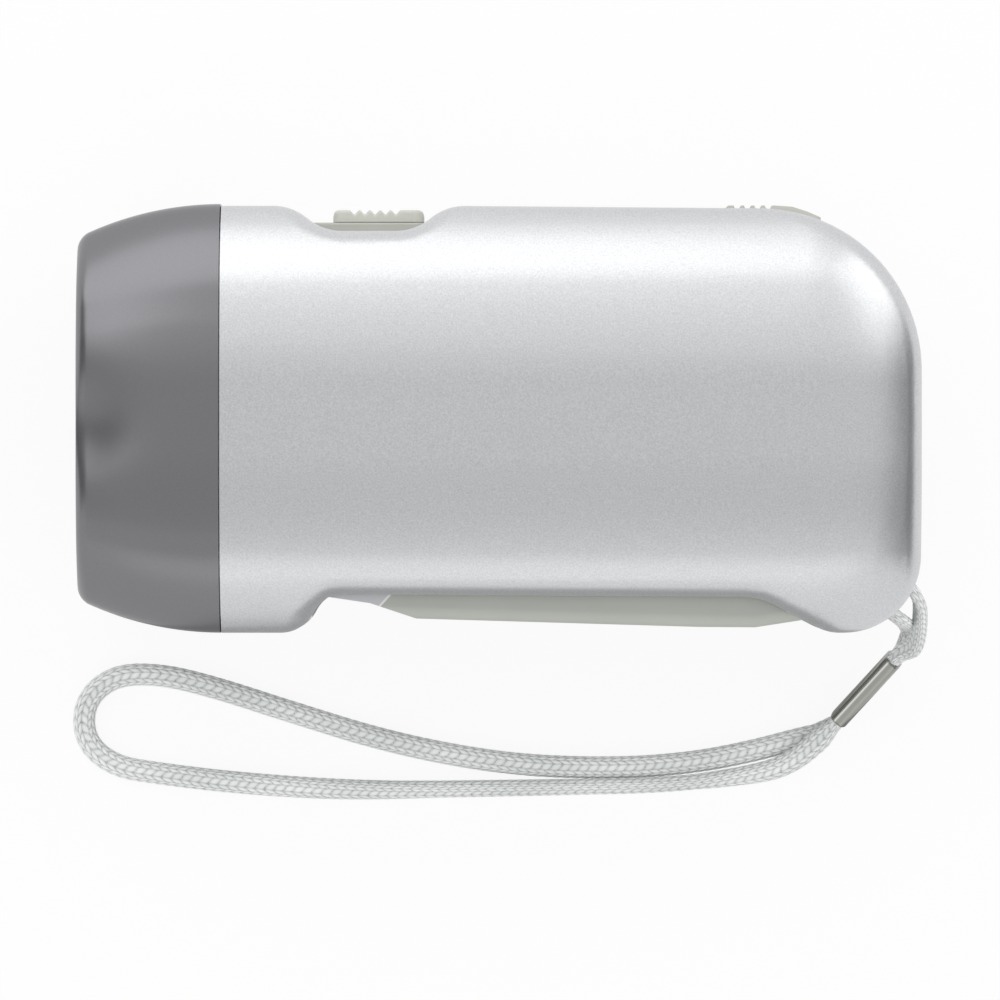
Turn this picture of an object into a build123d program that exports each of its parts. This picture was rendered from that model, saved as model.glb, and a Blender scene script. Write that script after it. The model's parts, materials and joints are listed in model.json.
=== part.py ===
from build123d import *
from math import acos, asin, atan2, cos, degrees, hypot, pi, radians, sin, sqrt, tan
import os

# A squeeze-lever dynamo torch with three lamps.  It lies on its side on a table.
# -X is the lens end, +Y the edge with the switch, +Z up.  Millimetres and degrees.
# Everything but the wrist strap is drawn about the seam plane and lifted at the end.

# Overall form
body_length = 105.2
body_height = 53.5
body_thickness = 43.0
wall = 1.8
bezel_length = 18.0
shell_top_step = 0.25
edge_round = 4.0
inner_round_share = 0.8
seam_bevel = 0.25

# Crown of the wide sides: a flat strip, a wide arc and a tighter arc, rolled off at the rear
crown_flat = 0.084 * body_height
crown_break = 0.308 * body_height
crown_wide_radius = 0.841 * body_height
crown_tight_radius = 0.336 * body_height
crown_end_angle = 63.0
crown_roll_radius = 25.0
crown_roll_from_rear = 14.6

# Outline of the shells, seen square to the wide sides
scoop_from_joint = 8.7
scoop_depth = 3.2
scoop_slope_length = 4.1
scoop_floor_length = 11.2
scoop_round = 6.5
top_fall = 0.5
rear_top_round = 20.2
rear_bottom_round = 9.5
lobe_from_rear = 11.6
lobe_slope_length = 8.6
lobe_round = 6.0
recess_depth = 4.45
recess_front_extra = 0.4
recess_round = 8.0
recess_from_joint = 10.1
recess_slope_length = 2.6
recess_corner_round = 4.0
front_corner_round = 4.5

# Bezel, lens and lamps
bezel_arc_radius = 41.0
bezel_front_round = 1.4
joint_gap = 0.15
neck_length = 4.0
neck_wall = 1.4
lip_thickness = 1.2
lip_width = 1.6
lens_thickness = 1.8
dimple_radius = 34.0
dimple_depth = 0.8
dimple_length = 9.0
board_thickness = 1.2
cup_mouth_radius = 7.3
cup_throat_radius = 3.0
cup_wall = 0.9
lamp_radius = 2.5
lamp_flange_radius = 2.9
lamp_length = 8.6
lead_spread = 1.27
lead_width = 0.5
lamp_offsets = ((8.8, 0.0), (-6.0, 7.8), (-6.0, -7.8))

# Clearances
slide_gap = 0.1
side_gap = 0.3
running_gap = 0.05
press_gap = 0.02

# Lever
pivot_from_rear = 14.6
pivot_above_bottom = 9.95
lever_half_width = 10.6
lever_skin = 1.8
lever_wall_top_drop = 2.8
hub_radius = 5.5
hub_inner_face = 4.8
slot_half_width = 11.0
slot_front_from_joint = 10.9
slot_rear_from_rear = 11.5
lever_pin_radius = 1.5
lever_edge_round = 1.6
rib_thickness = 1.2
foot_pin_radius = 1.0
foot_pin_forward = 3.2
foot_pin_up = 2.0
spring_wire_radius = 0.45
spring_radius = 3.3
spring_height = 7.2
spring_turns = 4.45
spring_leg = 12.2

# Gear train
pressure_angle = 25.0
addendum_factor = 0.95
dedendum_factor = 1.2
gear_backlash = 0.12
sector_module = 1.0
sector_full_teeth = 96
sector_teeth_low = -8
sector_teeth_high = 1
sector_angle = 160.0
sector_half_thickness = 2.0
sector_rim = 3.5
sector_back_rise = 0.2
sector_end_angle = 126.0
sector_foot_angle = 187.0
drive_pinion_teeth = 12
drive_wheel_module = 0.6
drive_wheel_teeth = 48
middle_pinion_teeth = 12
middle_wheel_module = 0.5
middle_wheel_teeth = 40
rotor_pinion_teeth = 10
rotor_from_pivot_x = -21.0
rotor_from_pivot_y = 20.8
drive_axle_radius = 1.25
middle_axle_radius = 1.0
rotor_axle_radius = 0.75
axle_grip = 6.0
ratchet_teeth = 16
ratchet_radius = 6.4
ratchet_depth = 0.8
pawl_clearance = 0.25
pawl_length = 6.8
pawl_width = 0.7
drive_spigot_radius = 2.9

# Levels of the gear train above the seam plane
plate_bottom = -5.0
plate_thickness = 1.6
drive_pinion_top = 2.6
ratchet_thickness = 1.3
drive_wheel_thickness = 2.4
middle_pinion_top = 7.0
middle_wheel_thickness = 2.2
rotor_pinion_bottom = 7.0
rotor_pinion_top = 10.0

# Generator
flywheel_radius = 13.5
flywheel_wall = 1.2
flywheel_height = 10.2
flywheel_top = -6.0
magnet_thickness = 1.5
magnet_height = 8.4
air_gap = 0.4
claw_thickness = 0.8
claw_count = 6
stator_base = -16.0
stator_top = -8.2
bobbin_flange = 0.8
bobbin_core_radius = 4.0
claw_finger_half_width = 1.9
claw_tip_gap = 0.6
stator_seat_inset = 1.3
flywheel_bush_wall = 1.7

# Switch at the front of the top edge
plate_front_from_joint = 10.5
plate_length = 14.8
plate_below_top = 2.15
plate_depth = 2.2
plate_half_width = 4.5
knob_front_from_joint = 13.8
knob_length = 11.4
knob_below_top = 0.55
knob_half_width = 3.4
knob_stem_half_width = 1.0
knob_stem_length = 3.0
ridge_pitch = 1.3
ridge_radius = 0.45
ridge_count = 5
switch_travel = 3.0

# Lever lock at the rear of the top edge
lock_front_from_rear = 24.35
lock_length = 12.15
lock_base_below_top = 1.75
lock_half_width = 4.0
lock_travel = 2.5
lock_seat_depth = 1.7
lock_bar_thickness = 1.8
lock_bar_half_width = 1.6
lock_tip_height = 1.9
lock_tip_above_pivot = 31.3

# Circuit board and coin cell
circuit_level = -1.8
circuit_thickness = 1.2
cell_radius = 8.0
cell_height = 3.2
post_radius = 1.8
post_pin_radius = 0.8
clip_thickness = 0.3
clip_half_width = 2.0
diode_radius = 0.95
diode_length = 4.0
diode_pitch = 2.9
capacitor_radius = 2.0
capacitor_height = 5.0

# Fasteners
screw_boss_radius = 3.0
screw_radius = 1.15
screw_head_radius = 2.2
screw_head_height = 1.8
screw_seat = 5.0
screw_reach = 7.5
small_screw_radius = 0.85
small_screw_head_radius = 1.9
small_screw_length = 6.0
plate_boss_radius = 2.5

# Strap bar in the rear bottom corner
strap_bar_from_rear = 4.0
strap_bar_above_bottom = 5.45
strap_bar_radius = 1.0
strap_notch_radius = 3.3
strap_notch_half_height = 1.8
strap_boss_wall = 1.9
strap_bar_half_length = 4.9
strap_exit_angle = -36.4

# Wrist strap, in the final frame: centre lines of the braid, chosen by eye
cord_diameter = 2.0
ferrule_top = (50.3, -30.4, 6.8)
ferrule_end = (43.4, -38.1, 3.2)
ferrule_width = 2.5
ferrule_height = 5.0
ferrule_sheet = 0.3
ferrule_slot = 0.7
hang_points = (
    (50.57, -30.09, 5.62),
    (52.71, -27.7, 6.74),
    (52.0, -26.2, 9.8),
    (50.9, -25.4, 14.2),
    (50.5, -25.24, 21.5),
    (45.75, -21.73, 21.5),
    (48.18, -18.43, 21.5),
    (52.93, -21.96, 21.5),
    (53.3, -25.6, 15.2),
    (52.9, -28.7, 11.4),
    (51.29, -29.3, 8.64),
    (50.03, -30.71, 7.98),
)
hang_radii_at_bar = 2.0
wrist_points = (
    (43.67, -37.79, 2.02),
    (41.72, -39.97, 1.0),
    (38.6, -40.6, 1.0),
    (32.3, -42.3, 1.0),
    (24.5, -43.8, 1.0),
    (14.5, -44.5, 1.0),
    (1.0, -44.0, 1.0),
    (-13.5, -41.3, 1.0),
    (-26.5, -37.3, 1.0),
    (-36.0, -34.2, 1.0),
    (-43.3, -32.4, 1.0),
    (-49.3, -32.6, 1.0),
    (-53.0, -35.9, 1.0),
    (-53.0, -40.9, 1.0),
    (-49.3, -44.2, 1.0),
    (-43.0, -45.2, 1.0),
    (-33.0, -46.4, 1.0),
    (-19.0, -47.3, 1.0),
    (-4.5, -47.1, 1.0),
    (9.5, -46.85, 1.0),
    (21.5, -46.6, 1.0),
    (31.2, -45.5, 1.0),
    (36.8, -44.2, 1.7),
    (41.18, -40.59, 3.36),
    (43.13, -38.41, 4.38),
)

# Derived places
half_length = body_length / 2
half_height = body_height / 2
half_thickness = body_thickness / 2
front_x = -half_length
rear_x = half_length
joint_x = front_x + bezel_length
top_y = half_height - shell_top_step
bottom_y = -half_height
scoop_y = top_y - scoop_depth
recess_y = bottom_y + recess_depth
pivot_x = rear_x - pivot_from_rear
pivot_y = bottom_y + pivot_above_bottom
slot_front_x = joint_x + slot_front_from_joint
slot_rear_x = rear_x - slot_rear_from_rear
lever_wall_top = pivot_y + lever_wall_top_drop
plate_top_level = plate_bottom + plate_thickness
sector_radius = sector_module * sector_full_teeth / 2
sector_inner_radius = sector_radius - sector_rim
sector_back_radius = sector_radius + sector_back_rise
drive_pinion_radius = sector_module * drive_pinion_teeth / 2
drive_wheel_radius = drive_wheel_module * drive_wheel_teeth / 2
middle_pinion_radius = drive_wheel_module * middle_pinion_teeth / 2
middle_wheel_radius = middle_wheel_module * middle_wheel_teeth / 2
rotor_pinion_radius = middle_wheel_module * rotor_pinion_teeth / 2
drive_wheel_bottom = drive_pinion_top + ratchet_thickness + slide_gap
drive_wheel_top = drive_wheel_bottom + drive_wheel_thickness
middle_wheel_bottom = middle_pinion_top + slide_gap
middle_wheel_top = middle_wheel_bottom + middle_wheel_thickness
stator_radius = flywheel_radius - flywheel_wall - running_gap - magnet_thickness - air_gap
lens_front_x = front_x + lip_thickness
lens_rear_x = lens_front_x + lens_thickness
lamp_board_rear_x = joint_x - neck_length
lamp_board_front_x = lamp_board_rear_x - board_thickness
knob_front_x = joint_x + knob_front_from_joint
plate_front_x = joint_x + plate_front_from_joint
plate_top = half_height - plate_below_top
plate_low_y = plate_top - plate_depth
knob_top = half_height - knob_below_top
lock_front_x = rear_x - lock_front_from_rear
lock_base = half_height - lock_base_below_top
lock_tip_y = pivot_y + lock_tip_above_pivot
strap_bar_x = rear_x - strap_bar_from_rear
strap_bar_y = bottom_y + strap_bar_above_bottom
BASE = (Align.CENTER, Align.CENTER, Align.MIN)
CORNER = (Align.MIN, Align.MIN, Align.MIN)


def cross_plane(x):
    """The plane square to X at a place, with Y across and Z up."""
    return Plane(origin=(x, 0, 0), x_dir=(0, 1, 0), z_dir=(1, 0, 0))


def polar(x, y, radius, angle):
    """The point at a distance and an angle from (x, y)."""
    return (x + radius * cos(radians(angle)), y + radius * sin(radians(angle)))


def rod(x, y, radius, z_low, z_high):
    """A round rod along Z between two levels."""
    return Pos(x, y, z_low) * Cylinder(radius, z_high - z_low, align=BASE)


def tube(x, y, radius, bore, z_low, z_high):
    """A round tube along Z between two levels."""
    return rod(x, y, radius, z_low, z_high) - rod(x, y, bore, z_low, z_high)


def block(x_low, x_high, y_low, y_high, z_low, z_high):
    """A box given by its two corners."""
    box = Box(x_high - x_low, y_high - y_low, z_high - z_low, align=CORNER)
    return Pos(x_low, y_low, z_low) * box


def slab(face, z_low, z_high):
    """A face in the XY plane made thick between two levels."""
    return Pos(0, 0, z_low) * extrude(face, amount=z_high - z_low, dir=(0, 0, 1))


def both_sides(shape):
    """A shape and its mirror image across the seam plane."""
    return shape + mirror(shape, Plane.XY)


# ---------------------------------------------------------------- body form

def crown_arcs(inset):
    """One quarter of the crown in (Y, Z), from the side line up to the flat strip."""
    break_angle = degrees(asin((crown_break - crown_flat) / crown_wide_radius))
    wide_y = crown_flat
    wide_z = half_thickness - crown_wide_radius
    tight_y, tight_z = polar(wide_y, wide_z, crown_wide_radius - crown_tight_radius, 90 - break_angle)
    tight = crown_tight_radius - inset
    wide = crown_wide_radius - inset
    side = polar(tight_y, tight_z, tight, 90 - crown_end_angle)
    tight_middle = polar(tight_y, tight_z, tight, 90 - (crown_end_angle + break_angle) / 2)
    joint = polar(tight_y, tight_z, tight, 90 - break_angle)
    wide_middle = polar(wide_y, wide_z, wide, 90 - break_angle / 2)
    top = polar(wide_y, wide_z, wide, 90)
    arcs = [ThreePointArc(side, tight_middle, joint), ThreePointArc(joint, wide_middle, top)]
    return arcs, side, top


def crown_profile(inset, base_z):
    """The crown's cross-section in (Y, Z) down to a level, as a face."""
    arcs, side, top = crown_arcs(inset)
    half = [Line((side[0], base_z), side)] + arcs
    edges = half + [mirror(edge, Plane.YZ) for edge in half]
    edges.append(Line(top, (-top[0], top[1])))
    edges.append(Line((side[0], base_z), (-side[0], base_z)))
    return make_face(edges)


def crown_form(inset):
    """The crowned upper side, straight along X and rolled off towards the rear."""
    base_z = half_thickness - crown_roll_radius
    roll_x = rear_x - crown_roll_from_rear
    face = cross_plane(roll_x) * crown_profile(inset, base_z)
    straight = extrude(face, amount=-(roll_x - front_x + 8))
    rolled = revolve(face, axis=Axis((roll_x, 0, base_z), (0, 1, 0)), revolution_arc=90)
    return straight + rolled


def outline_face(inset):
    """Outline of both shells in the XY plane, running past the bezel joint."""
    past_front = front_x - 6
    scoop_x = joint_x + scoop_from_joint
    floor_x = scoop_x + scoop_slope_length
    rise_x = floor_x + scoop_floor_length
    lobe_x = rear_x - lobe_from_rear
    recess_x = joint_x + recess_from_joint
    corners = (
        ((past_front, top_y), 0),
        ((scoop_x, top_y), scoop_round),
        ((floor_x, scoop_y), scoop_round),
        ((rise_x, scoop_y), scoop_round),
        ((rise_x + scoop_slope_length, top_y), scoop_round),
        ((rear_x, top_y - top_fall), rear_top_round),
        ((rear_x, bottom_y), rear_bottom_round),
        ((lobe_x, bottom_y), lobe_round),
        ((lobe_x - lobe_slope_length, recess_y), recess_round),
        ((recess_x + recess_slope_length, recess_y + recess_front_extra), recess_corner_round),
        ((recess_x, bottom_y), front_corner_round),
        ((past_front, bottom_y), 0),
    )
    points = [point for point, _ in corners]
    rounds = [radius for _, radius in corners]
    face = make_face(FilletPolyline(*points, radius=rounds, close=True))
    return offset(face, amount=-inset) if inset else face


def upper_edges(solid):
    """The edges where the crown meets the upright side walls."""
    walls = [face for face in solid.faces() if abs(face.normal_at().Z) < 1e-6]
    chosen = []
    for face in walls:
        if face.center().X < front_x - 1:
            continue
        for edge in face.edges():
            upright = abs((edge @ 0 - edge @ 1).Z) > 0.99 * edge.length
            if edge.center().Z > 1 and not upright and not any(edge.is_same(e) for e in chosen):
                chosen.append(edge)
    return chosen


def half_form(inset, x_front):
    """Upper half of the body form, shrunk by inset and cut off square at x_front."""
    prism = extrude(outline_face(inset), amount=body_height, dir=(0, 0, 1))
    solid = (crown_form(inset) & prism).solid()
    ease = edge_round if inset == 0 else inner_round_share * (edge_round - inset)
    solid = solid.fillet(ease, upper_edges(solid))
    keep = block(x_front, rear_x + 1, -body_height, body_height, -1, body_height)
    return Part() + (solid & keep)


# ---------------------------------------------------------------- places in the gear train

def third_corner(a, b, from_a, from_b):
    """The point at given distances from two points, on the left of the line from a to b."""
    span = hypot(b[0] - a[0], b[1] - a[1])
    bearing = degrees(atan2(b[1] - a[1], b[0] - a[0]))
    opening = degrees(acos((from_a ** 2 + span ** 2 - from_b ** 2) / (2 * from_a * span)))
    return polar(a[0], a[1], from_a, bearing + opening)


def bearing_between(a, b):
    """The direction from one point to another, in degrees."""
    return degrees(atan2(b[1] - a[1], b[0] - a[0]))


drive_axis = polar(pivot_x, pivot_y, sector_radius + drive_pinion_radius, sector_angle)
rotor_axis = (pivot_x + rotor_from_pivot_x, pivot_y + rotor_from_pivot_y)
middle_axis = third_corner(
    drive_axis,
    rotor_axis,
    drive_wheel_radius + middle_pinion_radius,
    middle_wheel_radius + rotor_pinion_radius,
)
screw_places = (
    (joint_x + 4.6, top_y - 7.0),
    (joint_x + 4.6, bottom_y + 7.25),
    (rear_x - 21.1, top_y - 8.9),
    (rear_x - 6.1, pivot_y + 8.3),
)
plate_boss_places = (
    (drive_axis[0] - 7.3, drive_axis[1] + 8.3),
    (drive_axis[0] - 7.3, drive_axis[1] - 9.7),
    (rotor_axis[0] - 15.5, rotor_axis[1] - 14.5),
    (rotor_axis[0] + 9.5, rotor_axis[1] - 14.8),
)
circuit_x = (rotor_axis[0] + 4.5, rear_x - 5.6)
circuit_y = (pivot_y + 12.3, top_y - 12.5)
circuit_posts = (
    (circuit_x[0] + 10.6, circuit_y[1] - 1.6),
    (circuit_x[1] - 2.4, circuit_y[1] - 1.9),
    (circuit_x[1] - 2.2, circuit_y[0] + 2.0),
)
cell_place = (circuit_x[0] + 14.3, circuit_y[0] + 8.6)


# ---------------------------------------------------------------- gears

def involute(angle):
    """The involute function of a pressure angle in radians."""
    return tan(angle) - angle


def tooth_points(module, teeth, centre_angle):
    """Corner points, in (radius, degrees), of one involute tooth."""
    pitch = module * teeth / 2
    base = pitch * cos(radians(pressure_angle))
    tip = pitch + addendum_factor * module
    root = pitch - dedendum_factor * module
    half_width = (pi * module / 2 - gear_backlash / 2) / (2 * pitch)
    start = max(base, root)
    flank = []
    for step in range(4):
        radius = start + (tip - start) * step / 3
        turn = half_width + involute(radians(pressure_angle)) - involute(acos(base / radius))
        flank.append((radius, degrees(turn)))
    if base > root:
        flank.insert(0, (root, flank[0][1]))
    rising = [(radius, centre_angle - turn) for radius, turn in flank]
    falling = [(radius, centre_angle + turn) for radius, turn in reversed(flank)]
    return rising + falling


def gear(place, module, teeth, first_angle, z_low, z_high):
    """A spur gear with real involute teeth; one tooth points along first_angle."""
    points = []
    for tooth in range(teeth):
        for radius, angle in tooth_points(module, teeth, first_angle + tooth * 360 / teeth):
            points.append(polar(place[0], place[1], radius, angle))
    return slab(make_face(Polyline(*points, close=True)), z_low, z_high)


def half_pitch(teeth):
    """Half the angle from one tooth to the next."""
    return 180 / teeth


# ---------------------------------------------------------------- shells

def boss(form, place, radius, level):
    """A boss from a level out to the wall."""
    return rod(place[0], place[1], radius, level, half_thickness) & form


def shell_base(form):
    """What both shells share, drawn on the upper side: skin, neck, seats, slots and bosses."""
    neck_inset = wall + bezel_sag(neck_length) + slide_gap
    neck_front = joint_x - neck_length
    collar = joint_x + wall
    shell = form - half_form(wall, collar)
    neck = half_form(neck_inset, neck_front)
    neck -= block(collar, rear_x + 1, -body_height, body_height, -1, body_height)
    shell += neck
    shell -= half_form(neck_inset + neck_wall, neck_front - 1) & block(
        neck_front - 2, collar + 0.01, -body_height, body_height, -1, body_height
    )
    for place in screw_places:
        shell += boss(form, place, screw_boss_radius, 0)
    pin_place = (pivot_x, pivot_y)
    shell += boss(form, pin_place, lever_pin_radius + 2.5, lever_half_width + side_gap + slide_gap)
    shell -= rod(pivot_x, pivot_y, lever_pin_radius + press_gap, 0, lever_half_width + axle_grip)
    strap_place = (strap_bar_x, strap_bar_y)
    strap_boss = rod(*strap_place, strap_notch_radius + strap_boss_wall, 0, strap_bar_half_length + wall)
    shell += strap_boss & form
    switch_seat = block(
        plate_front_x - wall, plate_front_x + plate_length + wall,
        plate_low_y - wall / 2, half_height, 0, plate_half_width + wall,
    )
    shell += switch_seat & form
    lock_seat = block(
        lock_front_x - lock_travel - 2 * wall, lock_front_x + lock_length + wall,
        lock_base - slide_gap - lock_seat_depth, half_height, 0, lock_half_width + wall,
    )
    return shell + (lock_seat & form)


def shell_openings():
    """What is cut from both shells, drawn on the upper side."""
    lever_slot = block(
        slot_front_x, slot_rear_x, bottom_y - 1, recess_y + wall + 1, -1, slot_half_width
    )
    switch_pocket = block(
        plate_front_x - slide_gap, plate_front_x + plate_length + slide_gap,
        plate_low_y - slide_gap, half_height + 1, -1, plate_half_width + slide_gap,
    )
    stem_low, stem_high = knob_stem_range()
    switch_slot = block(
        stem_low - switch_travel - side_gap, stem_high + side_gap,
        plate_low_y - 2 * wall, plate_low_y, -1, knob_stem_half_width + side_gap,
    )
    lock_pocket = block(
        lock_front_x - lock_travel - side_gap, lock_front_x + lock_length + 4,
        lock_base - slide_gap, half_height + 1, -1, lock_half_width + side_gap,
    )
    lock_low, lock_high = lock_stem_range()
    lock_slot = block(
        lock_low - lock_travel - side_gap, lock_high + side_gap,
        lock_base - 2 * lock_seat_depth, lock_base, -1, lock_bar_half_width + side_gap,
    )
    notch = rod(strap_bar_x, strap_bar_y, strap_notch_radius, -1, strap_notch_half_height)
    mouth = block(0, 12, -strap_notch_radius, strap_notch_radius, -1, strap_notch_half_height)
    notch += Pos(strap_bar_x, strap_bar_y, 0) * Rot(0, 0, strap_exit_angle) * mouth
    bar_hole = rod(strap_bar_x, strap_bar_y, strap_bar_radius + press_gap, 0, strap_bar_half_length)
    return lever_slot + switch_pocket + switch_slot + lock_pocket + lock_slot + notch + bar_hole


def bevel_seam(shell):
    """Take a small bevel off the outer edge of the seam."""
    ring = slab(outline_face(0), -0.01, seam_bevel) - slab(outline_face(seam_bevel), -0.02, seam_bevel + 1)
    return shell - (ring & block(joint_x, rear_x + 1, -body_height, body_height, -1, 1))


def shell_upper(form, shell):
    """Upper casing half, with the blind bosses for the screws and axles."""
    axle_bosses = (
        (drive_axis, drive_axle_radius, drive_wheel_top + side_gap),
        (middle_axis, middle_axle_radius, middle_wheel_top + side_gap),
        (rotor_axis, rotor_axle_radius, rotor_pinion_top + side_gap),
    )
    for place, radius, level in axle_bosses:
        shell += boss(form, place, radius + wall, level)
        shell -= rod(place[0], place[1], radius + press_gap, level - 1, level + axle_grip)
    for place in screw_places:
        shell -= rod(place[0], place[1], screw_radius + press_gap, -1, screw_reach + 1)
    return bevel_seam(shell - shell_openings())


def shell_lower(form, shell):
    """Lower casing half, with the screw wells, the stator seat and the inner posts."""
    shell += boss(form, rotor_axis, stator_radius - stator_seat_inset, -stator_base)
    shell -= rod(rotor_axis[0], rotor_axis[1], rotor_axle_radius + press_gap, 0, half_thickness - wall)
    for place in plate_boss_places:
        shell += boss(form, place, plate_boss_radius, -plate_bottom)
        shell -= rod(
            place[0], place[1], small_screw_radius + press_gap,
            -plate_bottom - 1, -plate_bottom + small_screw_length,
        )
    for place in circuit_posts:
        shell += boss(form, place, post_radius, -circuit_level)
        pin_end = -circuit_level - circuit_thickness - post_pin_radius
        shell += rod(place[0], place[1], post_pin_radius, pin_end, -circuit_level + 1)
    for place in screw_places:
        shell -= rod(place[0], place[1], screw_radius + 0.25, -1, half_thickness)
        shell -= rod(place[0], place[1], screw_head_radius + 0.3, screw_seat, half_thickness + 1)
    return mirror(bevel_seam(shell - shell_openings()), Plane.XY)


def shell_screws():
    """Four pan-head screws, driven from the lower side."""
    screws = Part()
    for x, y in screw_places:
        head = rod(x, y, screw_head_radius, -screw_seat - screw_head_height, -screw_seat)
        head -= block(
            x - screw_head_radius, x + screw_head_radius, y - 0.25, y + 0.25,
            -screw_seat - screw_head_height - 1, -screw_seat - screw_head_height + 0.7,
        )
        screws += head + rod(x, y, screw_radius, -screw_seat, screw_reach)
    return screws


# ---------------------------------------------------------------- bezel and lamps

def bezel_sag(distance):
    """How far the bezel's side has drawn in at a distance in front of the joint."""
    return bezel_arc_radius - sqrt(bezel_arc_radius ** 2 - distance ** 2)


def bezel_section(x, inset):
    """Cross-section of the bezel at x, shrunk by inset: the body's section, scaled down."""
    lower = crown_profile(inset, 0)
    whole = lower + mirror(lower, Plane.XZ)
    side = half_height - inset
    whole = whole & Rectangle(2 * side, 2 * body_thickness)
    corners = [v for v in whole.vertices() if abs(abs(v.X) - side) < 1e-4 and abs(v.Y) > 1]
    whole = fillet(corners, max(edge_round - inset, 0.5))
    factor = (half_height - bezel_sag(joint_x - x) - inset) / side
    return cross_plane(x) * scale(whole, by=factor)


def bezel_form(inset, x_front, x_back):
    """The bezel's outer form between two places along X, shrunk by inset."""
    steps = 5
    places = [x_back + (x_front - x_back) * step / steps for step in range(steps + 1)]
    return loft([bezel_section(x, inset) for x in places])


def bezel():
    """Front bezel: drawn in to the front, with a lip for the lens and a thumb dimple each side."""
    solid = bezel_form(0, front_x, joint_x - joint_gap)
    front_edges = solid.faces().sort_by(Axis.X)[0].edges()
    solid = fillet(front_edges, bezel_front_round)
    rim_z = half_thickness * (1 - bezel_sag(bezel_length) / half_height)
    back_z = half_thickness * (1 - bezel_sag(bezel_length - dimple_length) / half_height)
    slope = degrees(atan2(back_z - rim_z + dimple_depth, dimple_length))
    cutter = Rot(0, 90 - slope, 0) * Cylinder(dimple_radius, 8 * dimple_length)
    lift = (dimple_radius - dimple_depth * cos(radians(slope))) / cos(radians(slope))
    solid -= both_sides(Pos(front_x, 0, rim_z + lift) * cutter)
    solid -= bezel_form(wall, lens_front_x, joint_x - joint_gap)
    window = bezel_section(lens_front_x, wall + lip_width)
    solid -= extrude(window, amount=-3 * lip_thickness)
    return solid


def lens():
    """Clear front window, seated behind the lip."""
    face = bezel_section(lens_front_x, wall + slide_gap)
    return extrude(face, amount=lens_thickness)


def cup_profile(extra):
    """Half section of a reflector cup in (X, radius), made wider by extra."""
    throat_x = lamp_board_front_x - 1.2
    mouth = (lens_rear_x, cup_mouth_radius + extra)
    throat = (throat_x, cup_throat_radius + extra)
    bulge = ((mouth[0] + throat[0]) / 2, (mouth[1] + throat[1]) / 2 + 0.9)
    return make_face([
        ThreePointArc(mouth, bulge, throat),
        Line(throat, (throat[0], 0)),
        Line((throat[0], 0), (mouth[0], 0)),
        Line((mouth[0], 0), mouth),
    ])


def reflector():
    """Mirror plate with three cups, one around each lamp."""
    flange = extrude(bezel_section(lens_rear_x, wall + 2 * slide_gap), amount=1.2)
    cups = Part()
    bores = Part()
    for y, z in lamp_offsets:
        cups += Pos(0, y, z) * revolve(cup_profile(cup_wall), axis=Axis.X)
        bores += Pos(0, y, z) * revolve(cup_profile(0), axis=Axis.X)
    return flange + cups - bores


def lamp_board():
    """Small board that carries the lamps, seated on the neck of the shells."""
    neck_line = wall + bezel_sag(neck_length + board_thickness) + 2 * slide_gap
    board = extrude(bezel_section(lamp_board_front_x, neck_line), amount=board_thickness)
    for y, z in lamp_offsets:
        for side in (-lead_spread, lead_spread):
            hole = Pos(lamp_board_front_x - 1, y + side, z) * Rot(0, 90, 0)
            board -= hole * Cylinder(0.4, board_thickness + 2, align=BASE)
    return board


def lamps():
    """Three round lamps of 5 mm with their leads."""
    body = make_face([
        Line((0, 0), (0, lamp_flange_radius)),
        Line((0, lamp_flange_radius), (-1, lamp_flange_radius)),
        Line((-1, lamp_flange_radius), (-1, lamp_radius)),
        Line((-1, lamp_radius), (lamp_radius - lamp_length, lamp_radius)),
        CenterArc((lamp_radius - lamp_length, 0), lamp_radius, 90, 90),
        Line((-lamp_length, 0), (0, 0)),
    ])
    lamp = revolve(body, axis=Axis.X)
    for side in (-lead_spread, lead_spread):
        lead = Box(
            board_thickness + 1.5, lead_width, lead_width, align=(Align.MIN, Align.CENTER, Align.CENTER)
        )
        lamp += Pos(-0.2, side, 0) * lead
    group = Part()
    for y, z in lamp_offsets:
        group += Pos(lamp_board_front_x, y, z) * lamp
    return group


# ---------------------------------------------------------------- lever and sector

def lever_profile():
    """Side view of the lever, shut: grip line, front end, wall tops and hub."""
    front = slot_front_x + 2.5
    points = (
        (front + 0.2, lever_wall_top - 1),
        (front, recess_y),
        (front + 5.1, recess_y - 0.76),
        (front + 10.9, recess_y - 2.7),
        (pivot_x - 13, bottom_y + 0.7),
        (pivot_x - 6, bottom_y + 0.65),
        (pivot_x - 0.2, bottom_y + 1.55),
        (pivot_x + 1.5, pivot_y),
        (pivot_x - 1.5, lever_wall_top + 1.5),
        (pivot_x - 9, lever_wall_top),
    )
    return make_face(Polyline(*points, close=True))


def sector_foot():
    """The X range of the sector's foot and the level of its underside."""
    low = pivot_x - sector_back_radius + 0.2
    return low, low + 6.5, recess_y - 0.7


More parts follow.
